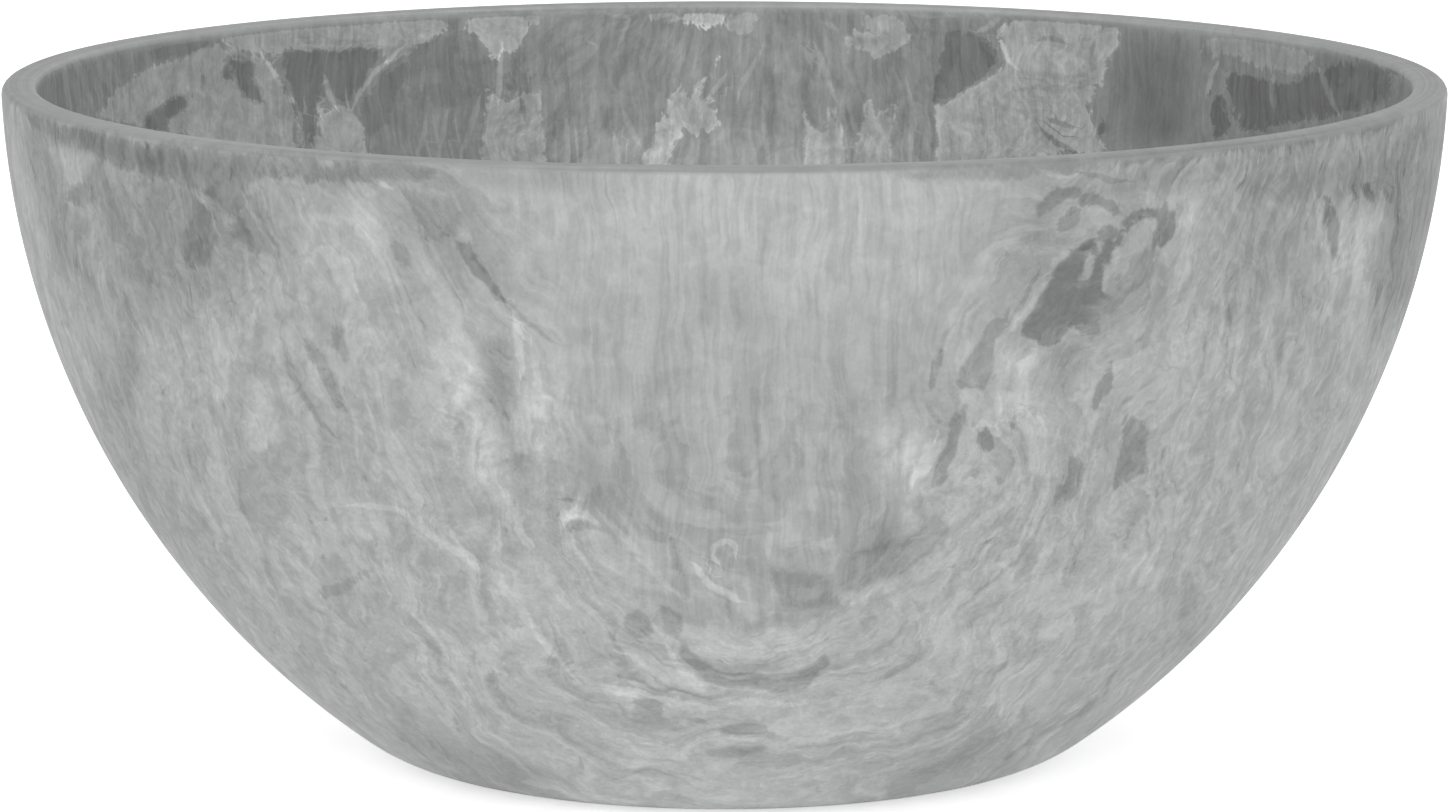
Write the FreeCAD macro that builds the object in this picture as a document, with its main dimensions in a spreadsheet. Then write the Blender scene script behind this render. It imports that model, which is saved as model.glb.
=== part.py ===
import FreeCAD, Part
import math
import os
import Sketcher

# A bowl planter with a water reservoir: a turned stone-composite bowl, a perforated watering disk
# that stands on four wick cups inside it, and a rubber plug that closes the drain hole in its foot.
# Millimetres, +Z up, origin on the bowl's axis at the surface that it stands on.

doc = FreeCAD.newDocument("bowl_planter")

# Driving dimensions, one row each: alias, value, what it measures
SIZES = [
    ("rim_diameter", "310", "bowl, widest, at the rim"),
    ("bowl_height", "147", "bowl, foot to rim"),
    ("foot_diameter", "123", "bowl, flat foot, out to the base corner"),
    ("wall_curve_radius", "180", "bowl, outer wall's arc"),
    ("base_corner_radius", "31.5", "bowl, outer arc from foot to wall"),
    ("wall_thickness", "7.5", "bowl wall"),
    ("floor_thickness", "9", "bowl floor, over the foot"),
    ("inside_corner_radius", "24", "bowl, arc from floor to inner wall"),
    ("rim_outer_round", "2", "rim's outer edge"),
    ("rim_inner_round", "1.5", "rim's inner edge"),
    ("recess_diameter", "92", "hollow under the foot"),
    ("recess_depth", "3", "hollow under the foot"),
    ("drain_hole_diameter", "22", "hole through the bowl's floor"),
    ("plug_clearance", "0.1", "gap between plug and drain hole, on the radius"),
    ("plug_flange_diameter", "36", "plug's flange under the floor"),
    ("plug_flange_thickness", "2.2", "plug's flange, thinner than the recess is deep"),
    ("plug_stand", "3.5", "plug's tip above the bowl's floor"),
    ("plug_tip_taper", "2", "plug's lead-in, on the radius"),
    ("plug_bore_diameter", "11", "hollow in the plug's tip"),
    ("plug_bore_depth", "6", "hollow in the plug's tip"),
    ("tab_reach", "11", "pull tab beyond the plug's flange"),
    ("tab_width", "13", "pull tab"),
    ("tab_hole_diameter", "5", "fingernail hole in the pull tab"),
    ("reservoir_depth", "28", "water space between floor and disk"),
    ("plate_thickness", "2.5", "watering disk's plate"),
    ("wall_gap", "4", "air and water gap between disk and bowl wall"),
    ("lip_height", "8", "disk's raised edge above the plate"),
    ("lip_thickness", "2.2", "disk's raised edge"),
    ("lip_lean", "20", "disk's raised edge, degrees from upright"),
    ("rib_diameter", "146", "stiffening ring under the disk, inside"),
    ("rib_thickness", "2", "stiffening ring"),
    ("rib_depth", "5", "stiffening ring below the plate"),
    ("cup_circle_diameter", "96", "circle of the wick cups"),
    ("cup_count", "4", "wick cups"),
    ("cup_top_diameter", "38", "wick cup, outside, at the plate"),
    ("cup_foot_diameter", "30", "wick cup, outside, at the floor"),
    ("cup_wall", "2", "wick cup wall"),
    ("cup_floor", "2", "wick cup floor"),
    ("cup_foot_hole", "8", "hole in a wick cup's floor"),
    ("slot_count", "6", "slots in a wick cup's wall"),
    ("slot_width", "6", "slot in a wick cup's wall"),
    ("slot_start", "5", "slot's lower end above the bowl's floor"),
    ("slot_height", "15", "slot, upright"),
    ("drain_diameter", "4", "drain hole in the disk"),
    ("outer_ring_diameter", "170", "circle of the outer drain holes"),
    ("outer_ring_count", "36", "outer drain holes"),
    ("middle_ring_diameter", "132", "circle of the middle drain holes"),
    ("middle_ring_count", "12", "middle drain holes"),
    ("inner_ring_diameter", "36", "circle of the inner drain holes"),
    ("inner_ring_count", "8", "inner drain holes"),
    ("finger_hole_diameter", "21", "finger hole that lifts the disk"),
    ("finger_circle_diameter", "96", "circle of the finger holes"),
    ("finger_hole_count", "2", "finger holes"),
]

sizes = doc.addObject("Spreadsheet::Sheet", "Sizes")
for row, (alias, value, meaning) in enumerate(SIZES, start=1):
    sizes.set(f"A{row}", meaning)
    sizes.set(f"B{row}", value)
    sizes.setAlias(f"B{row}", alias)
doc.recompute()

# Worked-out dimensions, as formulas over the driving ones. The wall arc's centre lies where it passes
# through the rim's outer edge and touches the base corner's arc from outside.
WORKED = [
    ("span_out", "=Sizes.rim_diameter / 2 - Sizes.foot_diameter / 2"),
    ("span_up", "=Sizes.bowl_height - Sizes.base_corner_radius"),
    ("span", "=sqrt(span_out^2 + span_up^2)"),
    ("corner_reach", "=Sizes.wall_curve_radius - Sizes.base_corner_radius"),
    ("along", "=(Sizes.wall_curve_radius^2 - corner_reach^2 + span^2) / (2 * span)"),
    ("across", "=sqrt(Sizes.wall_curve_radius^2 - along^2)"),
    ("centre_out", "=Sizes.rim_diameter / 2 - (along * span_out + across * span_up) / span"),
    ("centre_up", "=Sizes.bowl_height - (along * span_up - across * span_out) / span"),
    ("inner_curve", "=Sizes.wall_curve_radius - Sizes.wall_thickness"),
    ("plate_under", "=Sizes.floor_thickness + Sizes.reservoir_depth"),
    ("plate_top", "=plate_under + Sizes.plate_thickness"),
    ("disk_radius", "=centre_out + sqrt(inner_curve^2 - (centre_up - plate_under)^2) - Sizes.wall_gap"),
    ("lip_slope", "=tan(Sizes.lip_lean * 1 deg)"),
    ("plug_radius", "=Sizes.drain_hole_diameter / 2 - Sizes.plug_clearance"),
    ("plug_top", "=Sizes.floor_thickness + Sizes.plug_stand"),
    ("cup_mid_radius", "=(Sizes.cup_top_diameter + Sizes.cup_foot_diameter) / 4 - Sizes.cup_wall / 2"),
]

worked = doc.addObject("Spreadsheet::Sheet", "Worked")
for row, (alias, formula) in enumerate(WORKED, start=1):
    worked.set(f"A{row}", alias)
    worked.set(f"B{row}", formula)
    worked.setAlias(f"B{row}", alias)
    doc.recompute()


def number(expression):
    """An expression over the sheets, as a plain number."""
    return float(sizes.evalExpression(expression))


def new_body(label):
    body = doc.addObject("PartDesign::Body", label)
    body.Label = label
    return body


def origin_feature(body, role):
    return next(f for f in body.Origin.OriginFeatures if f.Role == role)


def new_sketch(body, name, role="XZ_Plane", height=None):
    """A sketch on one of the body's own origin planes, raised to a height if one is given."""
    sketch = body.newObject("Sketcher::SketchObject", name)
    sketch.AttachmentSupport = (origin_feature(body, role), [""])
    sketch.MapMode = "FlatFace"
    if height:
        sketch.setExpression("AttachmentOffset.Base.z", height)
    doc.recompute()
    return sketch


def bind(sketch, kind, where, expression):
    """Adds a dimension to a sketch and binds it to an expression."""
    value = number(expression)
    index = sketch.addConstraint(Sketcher.Constraint(kind, *where, value))
    sketch.setExpression(f"Constraints[{index}]", expression)


def bind_point(sketch, geometry, end, x, y):
    """Places a point of a sketch: an expression of "0" puts it on that axis."""
    if x == "0":
        sketch.addConstraint(Sketcher.Constraint("PointOnObject", geometry, end, -2))
    else:
        bind(sketch, "DistanceX", (-1, 1, geometry, end), x)
    if y == "0":
        sketch.addConstraint(Sketcher.Constraint("PointOnObject", geometry, end, -1))
    else:
        bind(sketch, "DistanceY", (-1, 1, geometry, end), y)


def draw_polygon(sketch, corners):
    """A closed outline whose corners are pairs of expressions."""
    points = [FreeCAD.Vector(number(x), number(y), 0) for x, y in corners]
    count = len(points)
    for i in range(count):
        sketch.addGeometry(Part.LineSegment(points[i], points[(i + 1) % count]))
    for i in range(count):
        sketch.addConstraint(Sketcher.Constraint("Coincident", i, 2, (i + 1) % count, 1))
    for i, (x, y) in enumerate(corners):
        bind_point(sketch, i, 1, x, y)
    doc.recompute()


def draw_circle(sketch, x, y, diameter):
    """A circle whose centre and diameter are expressions."""
    centre = FreeCAD.Vector(number(x), number(y), 0)
    circle = Part.Circle(centre, FreeCAD.Vector(0, 0, 1), number(diameter) / 2)
    index = sketch.addGeometry(circle)
    bind_point(sketch, index, 3, x, y)
    bind(sketch, "Diameter", (index,), diameter)
    doc.recompute()


def turn(body, name, sketch, kind="PartDesign::Revolution", axis="V_Axis"):
    """Turns a sketch a full circle about one of its own axes, adding or cutting."""
    feature = body.newObject(kind, name)
    feature.Profile = sketch
    feature.ReferenceAxis = (sketch, [axis])
    feature.Angle = 360
    doc.recompute()
    return feature


def cut(body, name, sketch, depth, upward=False):
    """A pocket that has to take material away."""
    before = body.Shape.Volume
    pocket = body.newObject("PartDesign::Pocket", name)
    pocket.Profile = sketch
    pocket.setExpression("Length", depth)
    pocket.Reversed = upward
    doc.recompute()
    if not body.Shape.Volume < before:
        raise RuntimeError(f"{name} cuts nothing")
    return pocket


def repeat_round(body, name, features, count):
    """Copies features round the body's own Z axis."""
    pattern = body.newObject("PartDesign::PolarPattern", name)
    pattern.Originals = features
    pattern.Axis = (origin_feature(body, "Z_Axis"), [""])
    pattern.Angle = 360
    pattern.setExpression("Occurrences", count)
    body.Tip = pattern
    doc.recompute()
    return pattern


def round_edges(body, name, height, radius_expression, size_expression):
    """Rounds the circular edge of that radius at that height."""
    base = body.Tip
    level, radius = number(height), number(radius_expression)
    names = []
    for i, edge in enumerate(base.Shape.Edges, start=1):
        curve = edge.Curve
        flat = abs(edge.BoundBox.ZMin - level) < 1e-4 and abs(edge.BoundBox.ZMax - level) < 1e-4
        if flat and hasattr(curve, "Radius") and abs(curve.Radius - radius) < 0.01:
            names.append(f"Edge{i}")
    if not names:
        raise RuntimeError(f"{name} finds no edge")
    fillet = body.newObject("PartDesign::Fillet", name)
    fillet.Base = (base, names)
    fillet.setExpression("Radius", size_expression)
    doc.recompute()
    return fillet


def circle_point(centre_x, centre_y, radius, angle):
    return FreeCAD.Vector(centre_x + radius * math.cos(angle), centre_y + radius * math.sin(angle), 0)


def draw_bowl_section(sketch):
    """Half the bowl's section: foot, base corner, wall and rim outside; wall, corner and floor inside."""
    foot = number("Sizes.foot_diameter / 2")
    corner = number("Sizes.base_corner_radius")
    outer = number("Sizes.wall_curve_radius")
    inner = number("Worked.inner_curve")
    inside_corner = number("Sizes.inside_corner_radius")
    floor = number("Sizes.floor_thickness")
    height = number("Sizes.bowl_height")
    centre_x, centre_y = number("Worked.centre_out"), number("Worked.centre_up")
    touch = math.atan2(corner - centre_y, foot - centre_x)
    inside_y = floor + inside_corner
    inside_x = centre_x + math.sqrt((inner - inside_corner) ** 2 - (centre_y - inside_y) ** 2)
    inside_touch = math.atan2(inside_y - centre_y, inside_x - centre_x)
    rim_angle = math.asin((height - centre_y) / outer)
    inner_rim_angle = math.asin((height - centre_y) / inner)
    up = FreeCAD.Vector(0, 0, 1)
    vector = FreeCAD.Vector
    rim_point = circle_point(centre_x, centre_y, outer, rim_angle)
    inner_rim_point = circle_point(centre_x, centre_y, inner, inner_rim_angle)
    foot_line, corner_arc, wall_arc, rim_line, inner_arc, inside_arc, floor_line, axis_line = range(8)
    sketch.addGeometry([
        Part.LineSegment(vector(0, 0, 0), vector(foot, 0, 0)),
        Part.ArcOfCircle(Part.Circle(vector(foot, corner, 0), up, corner), -math.pi / 2, touch),
        Part.ArcOfCircle(Part.Circle(vector(centre_x, centre_y, 0), up, outer), touch, rim_angle),
        Part.LineSegment(rim_point, inner_rim_point),
        Part.ArcOfCircle(
            Part.Circle(vector(centre_x, centre_y, 0), up, inner), inside_touch, inner_rim_angle),
        Part.ArcOfCircle(
            Part.Circle(vector(inside_x, inside_y, 0), up, inside_corner), -math.pi / 2, inside_touch),
        Part.LineSegment(vector(inside_x, floor, 0), vector(0, floor, 0)),
        Part.LineSegment(vector(0, floor, 0), vector(0, 0, 0)),
    ])
    start, end, centre = 1, 2, 3
    for constraint in (
        ("Coincident", foot_line, start, -1, 1),
        ("Horizontal", foot_line),
        ("Tangent", foot_line, end, corner_arc, start),
        ("Tangent", corner_arc, end, wall_arc, start),
        ("Coincident", wall_arc, end, rim_line, start),
        ("Horizontal", rim_line),
        ("Coincident", rim_line, end, inner_arc, end),
        ("Coincident", inner_arc, centre, wall_arc, centre),
        ("Tangent", inner_arc, start, inside_arc, end),
        ("Tangent", inside_arc, start, floor_line, start),
        ("Horizontal", floor_line),
        ("Coincident", floor_line, end, axis_line, start),
        ("Coincident", axis_line, end, foot_line, start),
        ("Vertical", axis_line),
    ):
        sketch.addConstraint(Sketcher.Constraint(*constraint))
    bind(sketch, "DistanceX", (-1, 1, foot_line, end), "Sizes.foot_diameter / 2")
    bind(sketch, "Radius", (corner_arc,), "Sizes.base_corner_radius")
    bind(sketch, "Radius", (wall_arc,), "Sizes.wall_curve_radius")
    bind(sketch, "DistanceX", (-1, 1, wall_arc, end), "Sizes.rim_diameter / 2")
    bind(sketch, "DistanceY", (-1, 1, wall_arc, end), "Sizes.bowl_height")
    bind(sketch, "Radius", (inner_arc,), "Worked.inner_curve")
    bind(sketch, "Radius", (inside_arc,), "Sizes.inside_corner_radius")
    bind(sketch, "DistanceY", (-1, 1, axis_line, start), "Sizes.floor_thickness")
    doc.recompute()


def make_bowl():
    """The turned bowl: wall, foot hollow, drain hole and rounded rim."""
    body = new_body("bowl")
    section = new_sketch(body, "BowlSection")
    draw_bowl_section(section)
    turn(body, "BowlTurned", section)
    recess = new_sketch(body, "FootRecessCircle", "XY_Plane")
    draw_circle(recess, "0", "0", "Sizes.recess_diameter")
    cut(body, "FootRecess", recess, "Sizes.recess_depth", upward=True)
    drain = new_sketch(body, "DrainCircle", "XY_Plane")
    draw_circle(drain, "0", "0", "Sizes.drain_hole_diameter")
    cut(body, "DrainHole", drain, "Sizes.floor_thickness", upward=True)
    rim = "Sizes.bowl_height"
    inner_rim = "Worked.centre_out + sqrt(Worked.inner_curve^2 - (Sizes.bowl_height - Worked.centre_up)^2)"
    round_edges(body, "RimOuterRound", rim, "Sizes.rim_diameter / 2", "Sizes.rim_outer_round")
    round_edges(body, "RimInnerRound", rim, inner_rim, "Sizes.rim_inner_round")
    return body


def make_drain_plug():
    """The rubber plug: a flange in the foot's hollow, a stem through the floor and a tab to pull it by."""
    body = new_body("drain_plug")
    under = "Sizes.recess_depth - Sizes.plug_flange_thickness"
    section = new_sketch(body, "PlugSection")
    draw_polygon(section, [
        ("0", under),
        ("Sizes.plug_flange_diameter / 2", under),
        ("Sizes.plug_flange_diameter / 2", "Sizes.recess_depth"),
        ("Worked.plug_radius", "Sizes.recess_depth"),
        ("Worked.plug_radius", "Sizes.floor_thickness"),
        ("Worked.plug_radius - Sizes.plug_tip_taper", "Worked.plug_top"),
        ("Sizes.plug_bore_diameter / 2", "Worked.plug_top"),
        ("Sizes.plug_bore_diameter / 2", "Worked.plug_top - Sizes.plug_bore_depth"),
        ("0", "Worked.plug_top - Sizes.plug_bore_depth"),
    ])
    turn(body, "PlugTurned", section)
    tab = new_sketch(body, "TabOutline", "XY_Plane", under)
    draw_tab(tab)
    pad = body.newObject("PartDesign::Pad", "PullTab")
    pad.Profile = tab
    pad.setExpression("Length", "Sizes.plug_flange_thickness")
    doc.recompute()
    hole = new_sketch(body, "TabHoleCircle", "XY_Plane", under)
    draw_circle(hole, "Sizes.plug_flange_diameter / 2 + Sizes.tab_reach - Sizes.tab_width / 2", "0",
                "Sizes.tab_hole_diameter")
    cut(body, "TabHole", hole, "Sizes.plug_flange_thickness", upward=True)
    return body


def draw_tab(sketch):
    """The pull tab's outline: a tongue from inside the flange to a round end."""
    half = number("Sizes.tab_width / 2")
    reach = number("Sizes.plug_flange_diameter / 2 + Sizes.tab_reach - Sizes.tab_width / 2")
    root = number("Worked.plug_radius")
    vector = FreeCAD.Vector
    top, nose, bottom, back = range(4)
    round_end = Part.Circle(vector(reach, 0, 0), vector(0, 0, 1), half)
    sketch.addGeometry([
        Part.LineSegment(vector(reach, half, 0), vector(root, half, 0)),
        Part.ArcOfCircle(round_end, -math.pi / 2, math.pi / 2),
        Part.LineSegment(vector(root, -half, 0), vector(reach, -half, 0)),
        Part.LineSegment(vector(root, half, 0), vector(root, -half, 0)),
    ])
    start, end, centre = 1, 2, 3
    for constraint in (
        ("Tangent", nose, end, top, start),
        ("Tangent", bottom, end, nose, start),
        ("Coincident", top, end, back, start),
        ("Coincident", back, end, bottom, start),
        ("Horizontal", top),
        ("Vertical", back),
        ("PointOnObject", nose, centre, -1),
    ):
        sketch.addConstraint(Sketcher.Constraint(*constraint))
    bind(sketch, "Radius", (nose,), "Sizes.tab_width / 2")
    bind(sketch, "DistanceX", (-1, 1, nose, centre),
         "Sizes.plug_flange_diameter / 2 + Sizes.tab_reach - Sizes.tab_width / 2")
    bind(sketch, "DistanceX", (-1, 1, back, start), "Worked.plug_radius")
    doc.recompute()


def make_watering_disk():
    """The false floor: a plate with a raised lip, wick cups that stand on the bowl's floor, and holes."""
    body = new_body("watering_disk")
    plate = new_sketch(body, "PlateSection")
    rib_inside = "Sizes.rib_diameter / 2"
    rib_outside = "Sizes.rib_diameter / 2 + Sizes.rib_thickness"
    rib_foot = "Worked.plate_under - Sizes.rib_depth"
    lip_top = "Worked.plate_top + Sizes.lip_height"
    lip_edge = "Worked.disk_radius + Worked.lip_slope * (Sizes.plate_thickness + Sizes.lip_height)"
    lip_root = "Worked.disk_radius + Worked.lip_slope * Sizes.plate_thickness - Sizes.lip_thickness"
    draw_polygon(plate, [
        ("0", "Worked.plate_under"),
        (rib_inside, "Worked.plate_under"),
        (rib_inside, rib_foot),
        (rib_outside, rib_foot),
        (rib_outside, "Worked.plate_under"),
        ("Worked.disk_radius", "Worked.plate_under"),
        (lip_edge, lip_top),
        (f"{lip_edge} - Sizes.lip_thickness", lip_top),
        (lip_root, "Worked.plate_top"),
        ("0", "Worked.plate_top"),
    ])
    turn(body, "PlateTurned", plate)
    cups = make_wick_cup(body)
    repeat_round(body, "WickCups", cups, "Sizes.cup_count")
    between_cups = "180 deg / Sizes.cup_count"
    hole_rings = (
        ("OuterDrain", "Sizes.outer_ring_diameter", "Sizes.drain_diameter", "Sizes.outer_ring_count",
         "0 deg"),
        ("MiddleDrain", "Sizes.middle_ring_diameter", "Sizes.drain_diameter", "Sizes.middle_ring_count",
         between_cups),
        ("InnerDrain", "Sizes.inner_ring_diameter", "Sizes.drain_diameter", "Sizes.inner_ring_count",
         "0 deg"),
        ("FingerHole", "Sizes.finger_circle_diameter", "Sizes.finger_hole_diameter",
         "Sizes.finger_hole_count", between_cups),
    )
    for name, circle, diameter, count, angle in hole_rings:
        make_hole_ring(body, name, circle, diameter, count, angle)
    return body


def make_wick_cup(body):
    """One slotted cup under the plate, open at its mouth: outside, hollow and slots."""
    axis_x = "Sizes.cup_circle_diameter / 2"
    outside = new_sketch(body, "CupOutside")
    draw_polygon(outside, [
        (axis_x, "Sizes.floor_thickness"),
        (f"{axis_x} + Sizes.cup_foot_diameter / 2", "Sizes.floor_thickness"),
        (f"{axis_x} + Sizes.cup_top_diameter / 2", "Worked.plate_under"),
        (f"{axis_x} + Sizes.cup_top_diameter / 2", "Worked.plate_top"),
        (axis_x, "Worked.plate_top"),
    ])
    added = turn_on_own_side(body, "Cup", outside, "PartDesign::Revolution")
    hollow = new_sketch(body, "CupInside")
    cup_floor_top = "Sizes.floor_thickness + Sizes.cup_floor"
    draw_polygon(hollow, [
        (axis_x, "Sizes.floor_thickness"),
        (f"{axis_x} + Sizes.cup_foot_hole / 2", "Sizes.floor_thickness"),
        (f"{axis_x} + Sizes.cup_foot_hole / 2", cup_floor_top),
        (f"{axis_x} + Sizes.cup_foot_diameter / 2 - Sizes.cup_wall", cup_floor_top),
        (f"{axis_x} + Sizes.cup_top_diameter / 2 - Sizes.cup_wall", "Worked.plate_top"),
        (axis_x, "Worked.plate_top"),
    ])
    emptied = turn_on_own_side(body, "CupHollow", hollow, "PartDesign::Groove")
    slots = new_sketch(body, "CupSlots", "XY_Plane", "Sizes.floor_thickness + Sizes.slot_start")
    for i in range(int(number("Sizes.slot_count"))):
        angle = f"({i} + 0.5) * 360 deg / Sizes.slot_count"
        draw_circle(slots, f"{axis_x} + Worked.cup_mid_radius * cos({angle})",
                    f"Worked.cup_mid_radius * sin({angle})", "Sizes.slot_width")
    slotted = cut(body, "CupSlotted", slots, "Sizes.slot_height", upward=True)
    return [added, emptied, slotted]


def turn_on_own_side(body, name, sketch, kind):
    """Turns a polygon about its last side, which is drawn as the axis."""
    last = sketch.GeometryCount - 1
    axis = sketch.addGeometry(sketch.Geometry[last], True)
    for end in (1, 2):
        sketch.addConstraint(Sketcher.Constraint("Coincident", axis, end, last, end))
    doc.recompute()
    return turn(body, name, sketch, kind, "Axis0")


def make_hole_ring(body, name, circle, diameter, count, angle):
    """A ring of round holes down through the plate."""
    sketch = new_sketch(body, f"{name}Circle", "XY_Plane", "Worked.plate_top")
    across = f"({circle}) / 2 * sin({angle})" if number(angle) else "0"
    draw_circle(sketch, f"({circle}) / 2 * cos({angle})", across, diameter)
    pocket = cut(body, name, sketch, "Sizes.plate_thickness")
    repeat_round(body, f"{name}s", [pocket], count)


def check(obj):
    """Stops the build on a failed object."""
    if "Invalid" in obj.State or "Error" in obj.State:
        raise RuntimeError(f"{obj.Label} failed: {obj.State}")


def write_parts(parts):
    os.makedirs("parts", exist_ok=True)
    for obj in doc.Objects:
        check(obj)
    for part in parts:
        shape = part.Shape
        if shape.isNull() or not shape.isValid() or not shape.Solids:
            raise RuntimeError(f"{part.Label} has no valid solid")
        shape.exportStep(f"parts/{part.Label}.step")
        print(part.Label, "solids", len(shape.Solids), "volume", round(shape.Volume), "mm3")


made = [make_bowl(), make_watering_disk(), make_drain_plug()]
doc.recompute()
write_parts(made)
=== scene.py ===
import functools
import math

import bpy
import numpy as np
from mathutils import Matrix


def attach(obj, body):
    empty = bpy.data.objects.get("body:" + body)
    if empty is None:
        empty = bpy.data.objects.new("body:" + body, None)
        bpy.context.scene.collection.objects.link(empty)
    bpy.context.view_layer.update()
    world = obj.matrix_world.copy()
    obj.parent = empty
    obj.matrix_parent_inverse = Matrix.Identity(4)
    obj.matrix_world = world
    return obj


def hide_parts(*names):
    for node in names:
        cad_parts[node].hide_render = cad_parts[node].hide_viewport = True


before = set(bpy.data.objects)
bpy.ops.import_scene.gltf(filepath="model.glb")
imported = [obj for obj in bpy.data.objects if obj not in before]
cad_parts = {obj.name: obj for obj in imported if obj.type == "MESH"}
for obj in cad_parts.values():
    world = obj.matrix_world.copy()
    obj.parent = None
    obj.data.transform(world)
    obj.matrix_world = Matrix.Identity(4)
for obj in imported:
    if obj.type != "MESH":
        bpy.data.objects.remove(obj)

scene = bpy.context.scene
scene.view_settings.view_transform = "Standard"
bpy.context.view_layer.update()  # the solids' box, before anything is dressed

# The photo's camera: the bowl seen a little from above (mm, degrees, pixels of a 1449 x 812 frame)
photo = {
    "width": 1449,
    "height": 812,
    "distance": 1621.05,  # from the bowl's axis
    "cameraHeight": 336.35,
    "pitchDown": 9.1507,
    "focalPixels": 7579.5,
    "sensor": 36.0,
}

# The bowl's section, mm
bowlForm = {
    "rimRadius": 155.0,
    "height": 147.0,
    "footRadius": 61.5,
    "wallArc": 180.0,
    "baseArc": 31.5,
    "wall": 7.5,
    "floor": 9.0,
    "insideArc": 24.0,
    "rimOuterRound": 2.0,
    "rimInnerRound": 1.5,
    "recessRadius": 46.0,
    "recessDepth": 3.0,
    "drainRadius": 11.0,
    "footEdge": 0.8,  # worn edge of the foot's hollow
    "drainEdge": 0.5,
    "columns": 440,  # round the axis
    "crowd": 0.45,  # how much closer they stand at the front and back
    "wallRows": 136,
    "seenInsideRows": 40,  # the top of the inside, which shows most
    "seenInsideDepth": 42.0,
    "insideRows": 12,
    "baseRows": 8,
    "cornerRows": 6,
    "rimRows": 5,
    "edgeRows": 3,
    "sharpFrom": 38.0,  # degrees between faces
}


def smooth(value, low, high):
    t = np.clip((value - low) / (high - low), 0, 1)
    return t * t * (3 - 2 * t)


def arcPoints(centre, radius, fromAngle, toAngle, steps):
    turns = np.linspace(fromAngle, toAngle, steps + 1)
    return [(centre[0] + radius * math.cos(t), centre[1] + radius * math.sin(t)) for t in turns]


def wallCentre(form):  # where the wall's arc meets the rim and touches the base corner's arc
    out = form["rimRadius"] - form["footRadius"]
    up = form["height"] - form["baseArc"]
    span = math.hypot(out, up)
    reach = form["wallArc"] - form["baseArc"]
    along = (form["wallArc"] ** 2 - reach ** 2 + span ** 2) / (2 * span)
    across = math.sqrt(form["wallArc"] ** 2 - along ** 2)
    return (form["rimRadius"] - (along * out + across * up) / span,
            form["height"] - (along * up - across * out) / span)


def bowlSection(form):  # a closed loop, from the drain hole out under the foot, up and back inside
    cx, cz = wallCentre(form)
    quarter = math.pi / 2
    inner = form["wallArc"] - form["wall"]
    foot, base, recess = form["footRadius"], form["baseArc"], form["recessRadius"]
    edge, drain, drainEdge = form["footEdge"], form["drainRadius"], form["drainEdge"]
    touch = math.atan2(base - cz, foot - cx)
    loop = [(drain, form["recessDepth"]), (0.5 * (drain + recess), form["recessDepth"]),
            (recess, form["recessDepth"])]
    loop += arcPoints((recess + edge, edge), edge, math.pi, 1.5 * math.pi, form["edgeRows"])
    loop += arcPoints((foot, base), base, -quarter, touch, form["baseRows"])
    rimZ = form["height"] - form["rimOuterRound"]
    rimX = cx + math.sqrt((form["wallArc"] - form["rimOuterRound"]) ** 2 - (rimZ - cz) ** 2)
    rimTouch = math.atan2(rimZ - cz, rimX - cx)
    loop += arcPoints((cx, cz), form["wallArc"], touch, rimTouch, form["wallRows"])[1:]
    loop += arcPoints((rimX, rimZ), form["rimOuterRound"], rimTouch, quarter, form["rimRows"])[1:]
    lipZ = form["height"] - form["rimInnerRound"]
    lipX = cx + math.sqrt((inner + form["rimInnerRound"]) ** 2 - (lipZ - cz) ** 2)
    lipTouch = math.atan2(lipZ - cz, lipX - cx)
    loop.append((0.5 * (rimX + lipX), form["height"]))
    loop += arcPoints((lipX, lipZ), form["rimInnerRound"], quarter, math.pi + lipTouch, form["rimRows"])
    corner = form["insideArc"]
    cornerZ = form["floor"] + corner
    cornerX = cx + math.sqrt((inner - corner) ** 2 - (cz - cornerZ) ** 2)
    cornerTouch = math.atan2(cornerZ - cz, cornerX - cx)
    seen = lipTouch - form["seenInsideDepth"] / inner
    loop += arcPoints((cx, cz), inner, lipTouch, seen, form["seenInsideRows"])[1:]
    loop += arcPoints((cx, cz), inner, seen, cornerTouch, form["insideRows"])[1:]
    loop += arcPoints((cornerX, cornerZ), corner, cornerTouch, -quarter, form["cornerRows"])[1:]
    loop += [(0.5 * (cornerX + drain), form["floor"])]
    drainTop = (drain + drainEdge, form["floor"] - drainEdge)
    loop += arcPoints(drainTop, drainEdge, quarter, math.pi, form["edgeRows"])
    return loop + loop[:1]


def treeOf(name, inputs):
    tree = bpy.data.node_groups.new(name, "GeometryNodeTree")
    for label, kind in inputs:
        tree.interface.new_socket(name=label, in_out="INPUT", socket_type=kind)
    tree.interface.new_socket(name="Geometry", in_out="OUTPUT", socket_type="NodeSocketGeometry")
    return tree


def addNode(tree, kind, settings=None, **values):
    node = tree.nodes.new(kind)
    for key, value in (settings or {}).items():
        setattr(node, key, value)
    for label, value in values.items():
        plug(node.inputs[label.replace("_", " ")], value)
    return node


def plug(socket, value):  # a link from an output, or a plain value
    if isinstance(value, bpy.types.NodeSocket):
        socket.id_data.links.new(value, socket)
    else:
        socket.default_value = value


def maths(operation, *values):  # in the tree that the values come from
    tree = next(value.id_data for value in values if isinstance(value, bpy.types.NodeSocket))
    node = addNode(tree, "ShaderNodeMath", {"operation": operation})
    for socket, value in zip(node.inputs, values):
        plug(socket, value)
    return node.outputs[0]


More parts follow.
